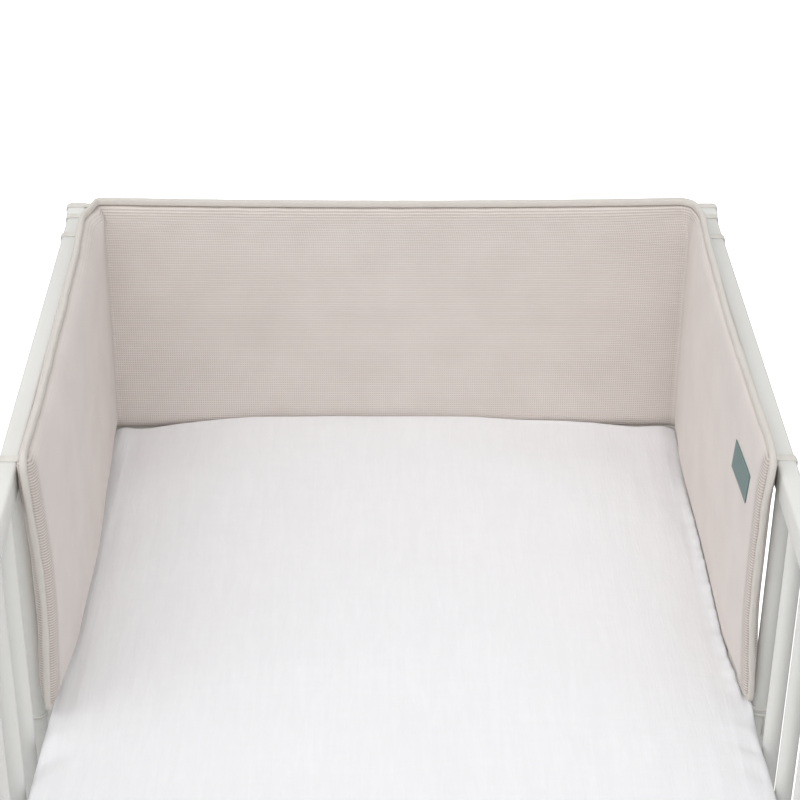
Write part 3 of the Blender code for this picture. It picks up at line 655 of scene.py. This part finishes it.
def ruffle(x, y):
    """The sheet's own folds: a low wave along the right panel's foot and puffs at both sides nearer by."""
    beside = smooth((y - BUMPER_END - 0.004) / 0.03) * smooth((0.60 - y) / 0.15)
    wave = 0.72 + 0.28 * np.sin(y * 2 * math.pi / 0.083 + 0.7) * np.sin(y * 2 * math.pi / 0.031 + 2.0)
    places = np.linspace(y.min(), y.max(), 400)
    foot = [side_row("right", min(max(END_FACE - place, 0.02), SIDE_RUN))["foot"] for place in places]
    inset = np.interp(y, places, foot) + BINDING_THICK * BAND_FULL["thick"] / 2 + MATTRESS_SHIFT
    room = RAIL_FACE - inset - (x + spread(x, y - MATTRESS_MIDDLE_Y)[0])
    ridge = bell((room - RIDGE["crest"]) / RIDGE["half"]) * smooth(room / RIDGE["fall"])
    ridge = ridge * beside * RIDGE["height"] * wave
    puffs = np.zeros_like(x)
    for side_x, place, length, width, height in PUFFS:
        puffs += height * bell((x - side_x) / length) * bell((y - place) / width)
    return ridge + puffs


def corner_share(x, y):
    """How much a point of the sheet lies in the bumper's turns: 0 to 1."""
    near = smooth((y - MATTRESS_HALF_LENGTH + 0.060) / 0.045)
    return near * smooth((np.abs(x) - CORNER_RISE["from"]) / CORNER_RISE["run"])


def corner_rise(x, y):
    """Where the sheet is pushed up into the bumper's turns, to its very edge."""
    beside = smooth((CORNER_RISE["limit"] - np.abs(x)) / CORNER_RISE["fall"])
    return CORNER_RISE["height"] * corner_share(x, y) * beside


def head_dip(x, y):
    """The shallow dips in the sheet's head edge, right of its middle and near its left corner."""
    depth = np.zeros_like(x)
    for side, start, run, stop, stop_run, deep in HEAD_DIPS:
        within = 1 - smooth((side * x - stop) / stop_run)
        depth += deep * smooth((side * x - start) / run) * within
    return depth * smooth((y - (MATTRESS_HALF_LENGTH - 0.12)) / 0.08)


def sheet_grid():
    """(x, y, edge): the sheet's top in plan with its round corners, and each point's way to the rim."""
    corner = MATTRESS_CORNER
    flat = MATTRESS_WIDTH / 2 - corner, MATTRESS_HALF_LENGTH - corner
    xs = spaced(MATTRESS_WIDTH / 2, SHEET_EDGE, 22, 130)
    plan = np.meshgrid(xs, spaced(MATTRESS_HALF_LENGTH, MATTRESS_EDGE, 8, 260), indexing="ij")
    a, b = (np.clip((np.abs(v) - f) / corner, 0, 1) for v, f in zip(plan, flat))
    inside = (a > 0) & (b > 0)
    px = np.where(inside, a * np.sqrt(1 - b * b / 2), a)
    py = np.where(inside, b * np.sqrt(1 - a * a / 2), b)
    edge = corner * (1 - np.where(inside, np.hypot(px, py), np.maximum(px, py)))
    x, y = (np.where(p > 0, np.sign(v) * (f + corner * p), v) for v, f, p in zip(plan, flat, (px, py)))
    return x, y, edge


def sheet_top():
    """The sheet's top as a grid of points: crowned, with its folds, soft creases and round edge."""
    x, y, edge = sheet_grid()
    reach = np.clip(1 - edge / MATTRESS_EDGE, 0, 1)
    drop = MATTRESS_EDGE * (1 - np.sqrt(np.maximum(1 - reach * reach, 0)))
    drop *= 1 - CORNER_FLAT * corner_share(x, y)
    beside_tip = bell((y + MATTRESS_MIDDLE_Y - TIP_RISE["y"]) / TIP_RISE["half"])
    drop *= 1 - TIP_RISE["share"] * smooth((x - TIP_RISE["from"]) / TIP_RISE["run"]) * beside_tip
    long_crease = ripple(x, y * 0.12, 5, 0.012, 0.035, 24)
    soft = ripple(x, y, 11, 0.07, 0.30, 18)
    side = smooth((np.abs(x) - 0.18) / 0.15)
    calm = 1 - reach
    out, up = spread(x, y)
    share = np.minimum(np.abs(x) / (MATTRESS_WIDTH / 2), 1.0)
    shoulder = share**CROWN_POWER
    z = MATTRESS_TOP + MATTRESS_CROWN * (1 - shoulder) + up * shoulder - drop
    z += calm * (0.00035 * soft - 0.0005 + (0.00010 + 0.00025 * side) * long_crease)
    z += ruffle(x, y + MATTRESS_MIDDLE_Y) * calm + corner_rise(x, y) - head_dip(x, y)
    return np.stack([x + out * share + MATTRESS_SHIFT, y + MATTRESS_MIDDLE_Y, z], -1)


def sheet_walls(rim):
    """Rings below the top's rim: the walls with small pleats, and the tucked-in foot."""
    step = norm(np.diff(rim, axis=0, append=rim[:1]), axis=1)
    turned = 2 * math.pi * np.concatenate([[0], np.cumsum(step)[:-1]]) / step.sum()
    pleat = sum(np.sin(turned * n + n * 1.7) for n in (31, 47, 71)) / 3
    centre = np.array([MATTRESS_SHIFT, MATTRESS_MIDDLE_Y])
    inward = -(rim[:, :2] - centre) / np.array([MATTRESS_WIDTH / 2, MATTRESS_HALF_LENGTH]) ** 2
    inward /= norm(inward, axis=1, keepdims=True)
    rows = []
    levels = np.linspace(rim[:, 2].mean(), MATTRESS_BOTTOM + WALL_TUCK, 9)[1:]
    for k, level in enumerate(levels):
        depth = WALL_PLEAT * math.sin(math.pi * (k + 1) / len(levels)) * (1 + pleat)
        rows.append(np.column_stack([rim[:, :2] + inward * depth[:, None], np.full(len(rim), level)]))
    foot = np.column_stack([rim[:, :2] + inward * WALL_TUCK, np.full(len(rim), MATTRESS_BOTTOM)])
    return rows + [foot]


def make_mattress(material):
    """The mattress in its sheet, as one closed body."""
    top = sheet_top()
    grid = np.arange(top[..., 0].size).reshape(top.shape[:2])
    corners = grid[:-1, :-1], grid[1:, :-1], grid[1:, 1:], grid[:-1, 1:]
    faces = np.column_stack([corner.ravel() for corner in corners]).tolist()
    above = np.concatenate([grid[:, 0], grid[-1, 1:], grid[-2::-1, -1], grid[0, -2:0:-1]])
    verts = top.reshape(-1, 3)
    for row in sheet_walls(verts[above]):
        below = np.arange(len(row)) + len(verts)
        verts = np.concatenate([verts, row])
        faces += np.column_stack([np.roll(above, -1), above, below, np.roll(below, -1)]).tolist()
        above = below
    faces.append(above[::-1].tolist())
    mesh = bpy.data.meshes.new("mattress_in_sheet")
    mesh.from_pydata(verts.tolist(), [], faces)
    mesh.shade_smooth()
    mesh.validate()
    obj = finish_piece(new_object("mattress_in_sheet", mesh), "mattress", material)


# ---- bumper ----


def side_row(side, run):
    """The side's measures at a distance from the head rail's face, between its rows."""
    rows = SIDE_ROWS[side]
    for far, near in zip(rows, rows[1:]):
        if run >= near["run"]:
            share = smooth((run - near["run"]) / (far["run"] - near["run"]))
            return {key: between(near[key], far[key], share) for key in near}
    return rows[-1]


def side_line(side, level):
    start = HEAD_ROW[level] + TURN_RADIUS[side][level]
    eased = SEAM + DRAW_IN * (1 - np.cos(np.linspace(0, math.pi / 2, 13)))
    runs = np.concatenate([[SIDE_RUN], SIDE_RUN - eased])
    runs = np.concatenate([runs, np.linspace(runs[-1], start, SIDE_STEPS + 1)[1:-1]])
    xs = [SIGN[side] * (RAIL_FACE - side_row(side, run)[level]) for run in runs]
    return np.column_stack([xs, END_FACE - runs])


def turn_line(side, level):
    radius = TURN_RADIUS[side][level]
    angle = np.linspace(0, math.pi / 2, TURN_STEPS + 1)
    x = RAIL_FACE - SIDE_ROWS[side][-1][level] - radius * (1 - np.cos(angle))
    y = END_FACE - HEAD_ROW[level] - radius * (1 - np.sin(angle))
    return np.column_stack([SIGN[side] * x, y])


def plan_line(level):
    """The pad's line in plan at a level: left side, turn, head, turn and right side."""
    left, right = (np.concatenate([side_line(side, level), turn_line(side, level)]) for side in SIGN)
    head = [between(left[-1], right[-1], k / HEAD_STEPS) for k in range(1, HEAD_STEPS)]
    return np.concatenate([left, head, right[::-1]])


class Bumper:
    """The pad's middle surface: stations along it, each with its heights and thickness."""

    def __init__(self):
        self.lines = {level: plan_line(level) for level in ("top", "body", "foot")}
        body = self.lines["body"]
        self.count = len(body)
        order = np.arange(self.count)
        ahead = body[np.minimum(order + 1, self.count - 1)] - body[np.maximum(order - 1, 0)]
        ahead /= norm(ahead, axis=1, keepdims=True)
        self.normals = np.column_stack([ahead[:, 1], -ahead[:, 0]])
        self.run = walked(body)
        self.length = self.run[-1]
        self.rows = [self.station(point) for point in body]
        self.left_turn = len(side_line("left", "body"))

    def station(self, point):
        """Foot and top height, half thickness and start of the top's bend where the pad passes a point."""
        side = "left" if point[0] < 0 else "right"
        run = END_FACE - point[1]
        turn = TURN_RADIUS[side]["body"]
        foot, bend = PAD_FOOT[side], TOP_FROM
        if run > HEAD_ROW["body"] + turn:
            to_end = SIDE_RUN - run
            top = between(PAD_TOP_SIDE, PAD_TOP_CORNER, smooth(1 - run / CORNER_RISE_RUN))
            half = side_row(side, run)["half"]
            if side == "right":
                foot += RIGHT_END_LIFT * smooth(1 - to_end / LIFT_RUN)
                half += END_FULL["half"] * smooth(1 - to_end / END_FULL["run"])
            bend = between(TOP_FROM, END_TOP_FROM[side], smooth(1 - to_end / END_EASE))
        else:
            across = abs(point[0]) / RAIL_FACE
            top = between(PAD_TOP_HEAD, PAD_TOP_CORNER, across * across)
            tuck = HEAD_TUCK + PAD_FOOT[side] - PAD_FOOT["left"]
            foot -= tuck * smooth((HEAD_ROW["body"] + turn - run) / turn)
            ease = smooth((RAIL_FACE - abs(point[0])) / HEAD_EASE_RUN)
            half = between(SIDE_ROWS[side][-1]["half"], HEAD_ROW["half"], ease)
        return {"foot": RAIL_TOP + foot, "top": RAIL_TOP + top, "half": half, "bend": bend}

    def share(self, index, z):
        """Heights z at a station as shares of the pad's height, from its foot up."""
        row = self.rows[index]
        return (np.asarray(z, float) - row["foot"]) / (row["top"] - row["foot"])

    def middle(self, index, z):
        """The middle surface's points in plan at a station and at heights z."""
        share, bend = self.share(index, z), self.rows[index]["bend"]
        top = smooth((share - bend) / (1 - bend))[..., None]
        foot = smooth((FOOT_BELOW - share) / FOOT_BELOW)[..., None]
        lines = {level: line[index] for level, line in self.lines.items()}
        return lines["top"] * top + lines["foot"] * foot + lines["body"] * (1 - top - foot)

    def from_end(self, index):
        return min(self.run[index], self.length - self.run[index])

    def levels(self, index, count):
        """Heights of a station's points, crowded towards the seams and within the round corners."""
        row = self.rows[index]
        radius = CORNER_ROUND - SEAM
        reach = max(radius - (self.from_end(index) - SEAM), 0.0)
        drop = radius - math.sqrt(max(radius * radius - reach * reach, 0.0))
        low, high = row["foot"] + SEAM + drop, row["top"] - SEAM - drop
        share = np.linspace(0, 1, count)
        eased = 0.5 - 0.5 * np.cos(math.pi * share)
        return between(low, high, between(share, eased, CROWDING))

    def edge(self, index, z):
        """Distance from the seam, round the corners too."""
        row = self.rows[index]
        end = self.from_end(index) - SEAM
        rise = np.minimum(z - row["foot"], row["top"] - z) - SEAM
        radius = CORNER_ROUND - SEAM
        round_edge = radius - np.hypot(radius - end, radius - rise)
        return np.where((end < radius) & (rise < radius), round_edge, np.minimum(end, rise))

    def half(self, index, z):
        """Half the pad's thickness at a station and at heights z."""
        rise = np.minimum(z - self.rows[index]["foot"], self.rows[index]["top"] - z) - SEAM
        fuller = np.minimum((self.from_end(index) - SEAM) / END_DRAW, rise / DRAW_IN)
        share = between(self.edge(index, z) / DRAW_IN, fuller, smooth((rise - CORNER_ROUND) / END_BLEND))
        share = np.clip(share, 0, 1)
        return EDGE_HALF + (self.rows[index]["half"] - EDGE_HALF) * np.sqrt(1 - (1 - share) ** 2)

    def cloth_height(self, index, z):
        """Where the cords lie: level low down, along the top seam higher up."""
        rise = self.rows[index]["top"] - RAIL_TOP - PAD_TOP_HEAD
        return z - smooth((self.share(index, z) - 0.35) / 0.65) * rise

    def clear_turn(self, index, z, half, places):
        """Keeps the inner face's points in the left turn off the faces beside them."""
        near = SIDE_ROWS["left"][-1]
        top = smooth((self.share(index, z) - TOP_FROM) / (1 - TOP_FROM))
        step = LEFT_TURN["step"] * (index - self.left_turn)
        side_x = between(near["body"], near["top"], top) - RAIL_FACE + half + step
        places[:, 0] = np.maximum(places[:, 0], side_x)
        places[:, 1] = np.minimum(places[:, 1], END_FACE - HEAD_ROW["body"] - half + step)

    def face(self, index, count, side):
        """Points of the pad's inner (side 1) or outer (side -1) face at a station, from the foot up."""
        z = self.levels(index, count)
        half = self.half(index, z)
        middle = self.middle(index, z)
        if side < 0:
            room = np.minimum(RAIL_FACE - np.abs(middle[:, 0]), END_FACE - middle[:, 1]) - BACK_CLEAR
            half = np.minimum(half, room)
        places = middle + self.normals[index] * (side * half)[:, None]
        x, y = self.lines["body"][index]
        if side > 0 and x < LEFT_TURN["x"] and END_FACE - y < LEFT_TURN["run"]:
            self.clear_turn(index, z, half, places)
        return np.column_stack([places, z]), self.cloth_height(index, z)


def rib_shade_and_relief(bumper, index, z):
    """How strongly the cords' relief and painted shade show: fully on the head, most at the ends, and
    little where it is taut.
    """
    back = END_FACE - bumper.lines["body"][index][1]
    on_head = smooth((0.045 - back) / 0.02)
    end = smooth((0.031 - bumper.from_end(index)) / 0.019)
    edge = bumper.edge(index, z)
    corner = smooth(1 - back / 0.22) * smooth((0.016 - edge) / 0.010)
    shows = RIB_SHADE_AND_RELIEF["taut"] + RIB_SHADE_AND_RELIEF["head"] * on_head + RIB_SHADE_AND_RELIEF["end"] * end
    return np.clip(shows + RIB_SHADE_AND_RELIEF["corner"] * corner, 0, 2)


def make_pad(bumper, material):
    rings, around, strengths = [], [], []
    kept = [index for index in range(bumper.count) if bumper.from_end(index) >= BINDING_WIDTH]
    for index in kept:
        faces = bumper.face(index, INNER_POINTS, 1), bumper.face(index, OUTER_POINTS, -1)
        ring, cloth = (np.concatenate([inner, outer[::-1]]) for inner, outer in zip(*faces))
        rings.append(ring)
        around.append(cloth)
        strengths.append(rib_shade_and_relief(bumper, index, ring[:, 2]))
    obj = skin("bumper_pad", rings, bumper.run[kept], around, strengths)
    finish_piece(obj, "pad", material)
    return rings


def end_steps(bumper, last, corner_steps=15, straight_steps=36):
    """The binding's steps down one open end: round its upper corner, straight down, round the lower."""
    radius = CORNER_ROUND - BINDING_WIDTH / 2
    index = bumper.count - 1 if last else 0
    high = bumper.rows[index]["top"] - CORNER_ROUND
    low = bumper.rows[index]["foot"] + CORNER_ROUND
    angles = np.linspace(math.pi / 2, 0, corner_steps)
    turns = [(high + radius * math.sin(angle), angle, 1) for angle in angles]
    turns += [(z, 0.0, 1) for z in np.linspace(high, low, straight_steps)[1:-1]]
    turns += [(low - radius * math.sin(angle), angle, -1) for angle in angles[::-1]]
    steps = []
    for z, angle, rise in turns:
        x, y = bumper.middle(index, z)
        place = (x, y + CORNER_ROUND - radius * math.cos(angle), z)
        outward = (0, -math.cos(angle), rise * math.sin(angle))
        steps.append((place, outward, (*bumper.normals[index], 0)))
    return steps


def binding_track(bumper):
    """(place, outward, across) at each step round the pad's edge, along the binding's middle."""
    inner = [i for i in range(bumper.count) if bumper.from_end(i) > CORNER_ROUND]

    def edge(name, rise):
        heights = [(i, bumper.rows[i][name] - rise * BINDING_WIDTH / 2) for i in inner]
        return [((*bumper.middle(i, z), z), (0, 0, rise), (*bumper.normals[i], 0)) for i, z in heights]

    track = edge("top", 1) + end_steps(bumper, True)
    return track + edge("foot", -1)[::-1] + end_steps(bumper, False)[::-1]


def make_binding(bumper, material):
    """A rounded band round the pad's whole edge, a little uneven, with a sewn line near its inner edge."""
    track = binding_track(bumper)
    places, outward, across = (np.array([step[k] for step in track], float) for k in range(3))
    turn = (places[:, 0] < LEFT_TURN["x"]) & (places[:, 1] > END_FACE - BAND_TURN["back"])
    turn &= places[:, 2] > RAIL_TOP
    for _ in range(BAND_TURN["rounds"]):
        soft = (np.roll(places, 1, axis=0) + 2 * places + np.roll(places, -1, axis=0)) / 4
        places = np.where(turn[:, None], soft, places)
    distance = walked(places)
    angle = np.linspace(0, 2 * math.pi, BAND_POINTS, endpoint=False)
    u, v = (
        np.sign(wave) * np.abs(wave) ** BAND_SQUARE[key] * size * BAND_FULL[key] / 2
        for wave, key, size in (
            (np.cos(angle), "width", BINDING_WIDTH),
            (np.sin(angle), "thick", BINDING_THICK),
        )
    )
    around = walked(np.column_stack([u, v]))
    total = distance[-1] + norm(places[0] - places[-1])
    turned = 2 * math.pi * distance / total
    swell = 1 + BAND_SWELL * sum(np.sin(turned * n + n) for n in (23, 41, 67, 97))
    rings = (
        places[:, None] + u[:, None] * outward[:, None] + np.outer(swell, v)[..., None] * across[:, None]
    )
    line = bell((u + BINDING_WIDTH * 0.27) / 0.0005) * (np.abs(v) > BINDING_THICK * 0.3)
    obj = skin("bumper_binding", rings, distance, around, line, closed_run=True)
    finish_piece(obj, "binding", material)


def at_height(points, z):
    """The point of a line from the foot up at height z."""
    return np.array([np.interp(z, points[:, 2], points[:, k]) for k in range(3)])


class Faces:
    """The pad's faces as drawn, to lay straps and the label on."""

    def __init__(self, rings):
        self.inner = [ring[:INNER_POINTS] for ring in rings]
        self.outer = [ring[INNER_POINTS:][::-1] for ring in rings]

    def x(self, side, outer, y, z):
        """x of one side's inner or outer face at y and z."""
        found = [at_height(points, z) for points in (self.outer if outer else self.inner)]
        found = np.array([point for point in found if point[0] * SIGN[side] > BESIDE_RAIL])
        order = np.argsort(found[:, 1])
        return np.interp(y, found[order, 1], found[order, 0])


def make_label(faces, material):
    """The small bare label that lies on the right panel's inner face, its edges sewn down."""
    along = np.linspace(-0.5, 0.5, LABEL_GRID[0] + 1) * LABEL["length"]
    up = np.linspace(-0.5, 0.5, LABEL_GRID[1] + 1) * LABEL["height"]
    rings, strengths = [], []
    for a in along:
        y = END_FACE - LABEL["run"] + a * math.cos(LABEL_TILT) - up * math.sin(LABEL_LEAN)
        z = RAIL_TOP - LABEL["drop"] - a * math.sin(LABEL_TILT) + up * math.cos(LABEL_LEAN)
        x = np.array([faces.x("right", False, *place) for place in zip(y, z)]) - LABEL_CLEAR
        edge = np.minimum(LABEL["length"] / 2 - abs(a), LABEL["height"] / 2 - np.abs(up))
        thick = LABEL["thick"] * between(LABEL_SEAM["low"], 1.0, smooth(edge / LABEL_SEAM["run"]))
        front = np.column_stack([x - thick, y, z])
        rings.append(np.concatenate([np.column_stack([x, y, z]), front[::-1]]))
        sewn = bell((edge - LABEL_SEAM["inset"]) / LABEL_SEAM["half"])
        strengths.append(np.concatenate([sewn, sewn[::-1]]))
    obj = skin("bumper_label", rings, along, np.concatenate([up, up[::-1]]), strengths)
    obj.data.set_sharp_from_angle(angle=math.radians(40))
    finish_piece(obj, "label", material)


# ---- straps and ties ----


def ribbon(node, track, width, thick, material, rests_on=None):
    """A woven tape along (place, face, across): face is its outer side, across its width."""
    parts = [np.array([step[k] for step in track], float) for k in range(3)]
    distance = walked(parts[0])
    fine = np.unique(np.concatenate([distance, np.arange(0, distance[-1], 0.0012)]))
    places, faces, sides = (
        np.column_stack([np.interp(fine, distance, part[:, k]) for k in range(3)]) for part in parts
    )
    for vectors in (faces, sides):
        vectors /= norm(vectors, axis=1, keepdims=True)
    across = np.linspace(-0.5, 0.5, 9)
    domed = thick * (0.62 + 0.38 * np.sqrt(1 - (2 * across) ** 2))
    under = places[:, None] + sides[:, None] * (width * across)[:, None]
    over = under + faces[:, None] * domed[:, None]
    rings = np.concatenate([under, over[:, ::-1]], axis=1)
    around = np.concatenate([across, across[::-1]]) * width
    obj = skin("tape_" + node, rings, fine, around)
    obj.data.set_sharp_from_angle(angle=math.radians(50))
    finish_piece(obj, node, material)
    if rests_on:
        length = float(walked(places + faces * thick / 2)[-1])


def bend_track(sign, y, x, z, angles):
    """Steps of a strap round a rounded edge: (x, z) is the round's middle."""
    track = []
    for angle in np.radians(angles):
        face = np.array([sign * math.cos(angle), 0, math.sin(angle)])
        track.append((np.array([sign * x, y, z]) + face * (RAIL_ROUND + GAP), face, (0, sign, 0)))
    return track


def make_rail_strap(side, place, over, under, faces, material):
    sign, half = SIGN[side], STRAP_WIDTH / 2
    bends = ((1, over, RAIL_TOP - RAIL_ROUND), (-1, under, RAIL_TOP - RAIL_HEIGHT + RAIL_ROUND))
    runs = []
    for rise, run, bend_z in bends:
        y, z = HEAD_Y - run, bend_z + rise * (RAIL_ROUND + GAP)
        edge = max(abs(faces.x(side, True, y + shift, z)) for shift in (-half, half))
        start = ((sign * (edge + GAP), y, z), (0, 0, rise), (0, sign, 0))
        angles = np.linspace(90 * rise, 0, BEND_POINTS)
        runs.append([start] + bend_track(sign, y, CRIB_WIDTH / 2 - RAIL_ROUND, bend_z, angles))
    track = runs[0] + runs[1][::-1]
    name = f"strap_{side}_{place}"
    ribbon(name, track, STRAP_WIDTH, STRAP_THICK, material, ["crib_side_" + side])


def make_post_strap(side, faces, material):
    sign, y = SIGN[side], HEAD_Y - POST_STRAP["back"]
    over, leg_x = RAIL_TOP + GAP, POST_STRAP["leg"]
    outside = [at_height(points, over) for points in faces.outer]
    start_y = max(point[1] for point in outside if abs(point[0] * sign - leg_x) < POST_STRAP["reach"]) + GAP
    track = [
        ((sign * leg_x, start_y, over), (0, 0, 1), (-sign, 0, 0)),
        ((sign * leg_x, y, over), (0, 0, 1), (-sign, 1, 0)),
    ]
    edge_x = CRIB_WIDTH / 2 + POST_PROUD
    angles = np.linspace(90, 0, BEND_POINTS)
    for place, face, _ in bend_track(sign, y, edge_x - RAIL_ROUND, RAIL_TOP - RAIL_ROUND, angles):
        track.append((place, face, (0, 1, 0)))
    foot = (sign * (edge_x + GAP), y, RAIL_TOP - POST_STRAP["drop"])
    track.append((foot, (sign, 0, 0), (0, 1, 0)))
    name = f"strap_{side}_post"
    ribbon(name, track, STRAP_WIDTH, STRAP_THICK, material, ["crib_post_head_" + side])


def make_tie(side, material):
    tie, sign = TIES[side], SIGN[side]
    centre = np.array([sign * RAIL_MIDDLE, side_bar_y(side, TIE_BAR), 0])
    radius = BAR_RADIUS + GAP
    up = np.array([0.0, 0.0, 1.0])
    track = []
    for turned in np.linspace(0, tie["turns"], round(TIE_TURN_POINTS * tie["turns"])):
        angle = math.pi + 2 * math.pi * turned
        face = np.array([sign * math.cos(angle), math.sin(angle), 0])
        level = RAIL_TOP - tie["drop"] - TIE_PITCH * turned
        track.append((centre + face * radius + up * level, face, up))
    if tie["tail"]:
        place, face, _ = track[-1]
        ahead = np.array([-face[1], face[0], 0])
        bend = place - up * TIE_BEND
        for angle in np.radians(np.linspace(10, 90, 9)):
            spoke = ahead * math.sin(angle) + up * math.cos(angle)
            track.append((bend + spoke * TIE_BEND, face, spoke))
        track.append((bend + ahead * TIE_BEND - up * tie["tail"], face, ahead))
    ribbon("tie_" + side, track, TIE_WIDTH, TIE_THICK, material)


# ---- floor, light and camera ----


def make_plane(name, z, grey, glow):
    mesh = bpy.data.meshes.new(name)
    mesh.from_pydata([(-30, -30, z), (30, -30, z), (30, 30, z), (-30, 30, z)], [], [(0, 1, 2, 3)])
    plane = new_object(name, mesh)
    look = {"Base_Color": (grey, grey, grey, 1), "Emission_Color": (1, 1, 1, 1), "Emission_Strength": glow}
    mesh.materials.append(Nodes(name, Roughness=0.9, Specular_IOR_Level=0.1, **look).material)
    return plane


def make_floor():
    """White paper that the camera sees, over a grey floor that the light sees."""
    paper = make_plane("backdrop", 0.0, 1.0, 1.0)
    for rays in ("diffuse", "glossy", "transmission", "shadow"):
        setattr(paper, "visible_" + rays, False)
    make_plane("floor", -0.0005, FLOOR_GREY, 0.0).visible_camera = False


def make_light(name, place, target, size, energy, beam):
    data = bpy.data.lights.new(name, "AREA")
    data.size = size
    data.energy = energy
    data.spread = math.radians(beam)
    light = new_object(name, data)
    light.location = place
    light.rotation_euler = (Vector(target) - Vector(place)).to_track_quat("-Z", "Y").to_euler()


def make_world():
    world = bpy.data.worlds.new("studio")
    world.use_nodes = True
    back = world.node_tree.nodes["Background"]
    back.inputs["Color"].default_value = (1, 1, 1, 1)
    back.inputs["Strength"].default_value = WORLD_STRENGTH
    bpy.context.scene.world = world


def make_camera():
    """The photograph's view: from the crib's foot, looking down over the mattress to the head."""
    data = bpy.data.cameras.new("camera")
    data.lens = CAMERA_LENS
    data.sensor_width = 36.0
    data.shift_x, data.shift_y = CAMERA_SHIFT
    data.clip_start, data.clip_end = 0.05, 100
    camera = new_object("camera", data)
    turned = Matrix.Rotation(CAMERA_YAW, 4, "Z") @ Matrix.Rotation(math.pi / 2 - CAMERA_PITCH, 4, "X")
    turned = turned @ Matrix.Rotation(CAMERA_ROLL, 4, "Z")
    camera.matrix_world = Matrix.Translation(CAMERA_PLACE) @ turned
    bpy.context.scene.camera = camera


# ---- the scene ----


def main():
    make_camera()
    bpy.context.scene.view_settings.view_transform = "Standard"
    make_world()
    for light in LIGHTS:
        make_light(*light)
    make_floor()

    paint = painted_wood()
    for end, y_sign in (("head", 1), ("foot", -1)):
        for side in SIGN:
            make_post(end, side, y_sign, paint)
        make_end(end, y_sign, paint)
        make_ledger(end, y_sign, paint)
    for side in SIGN:
        make_side(side, paint)
    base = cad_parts["mattress_base"]
    base.data.materials.clear()
    base.data.materials.append(base_board())
    make_mattress(sheet_cloth())

    bumper = Bumper()
    rings = make_pad(bumper, ribbed_cloth())
    make_binding(bumper, plain_knit())
    faces = Faces(rings)
    make_label(faces, label_cloth())
    tape = strap_cloth()
    for strap in RAIL_STRAPS:
        make_rail_strap(*strap, faces, tape)
    for side in SIGN:
        make_post_strap(side, faces, tape)
        make_tie(side, tape)


main()
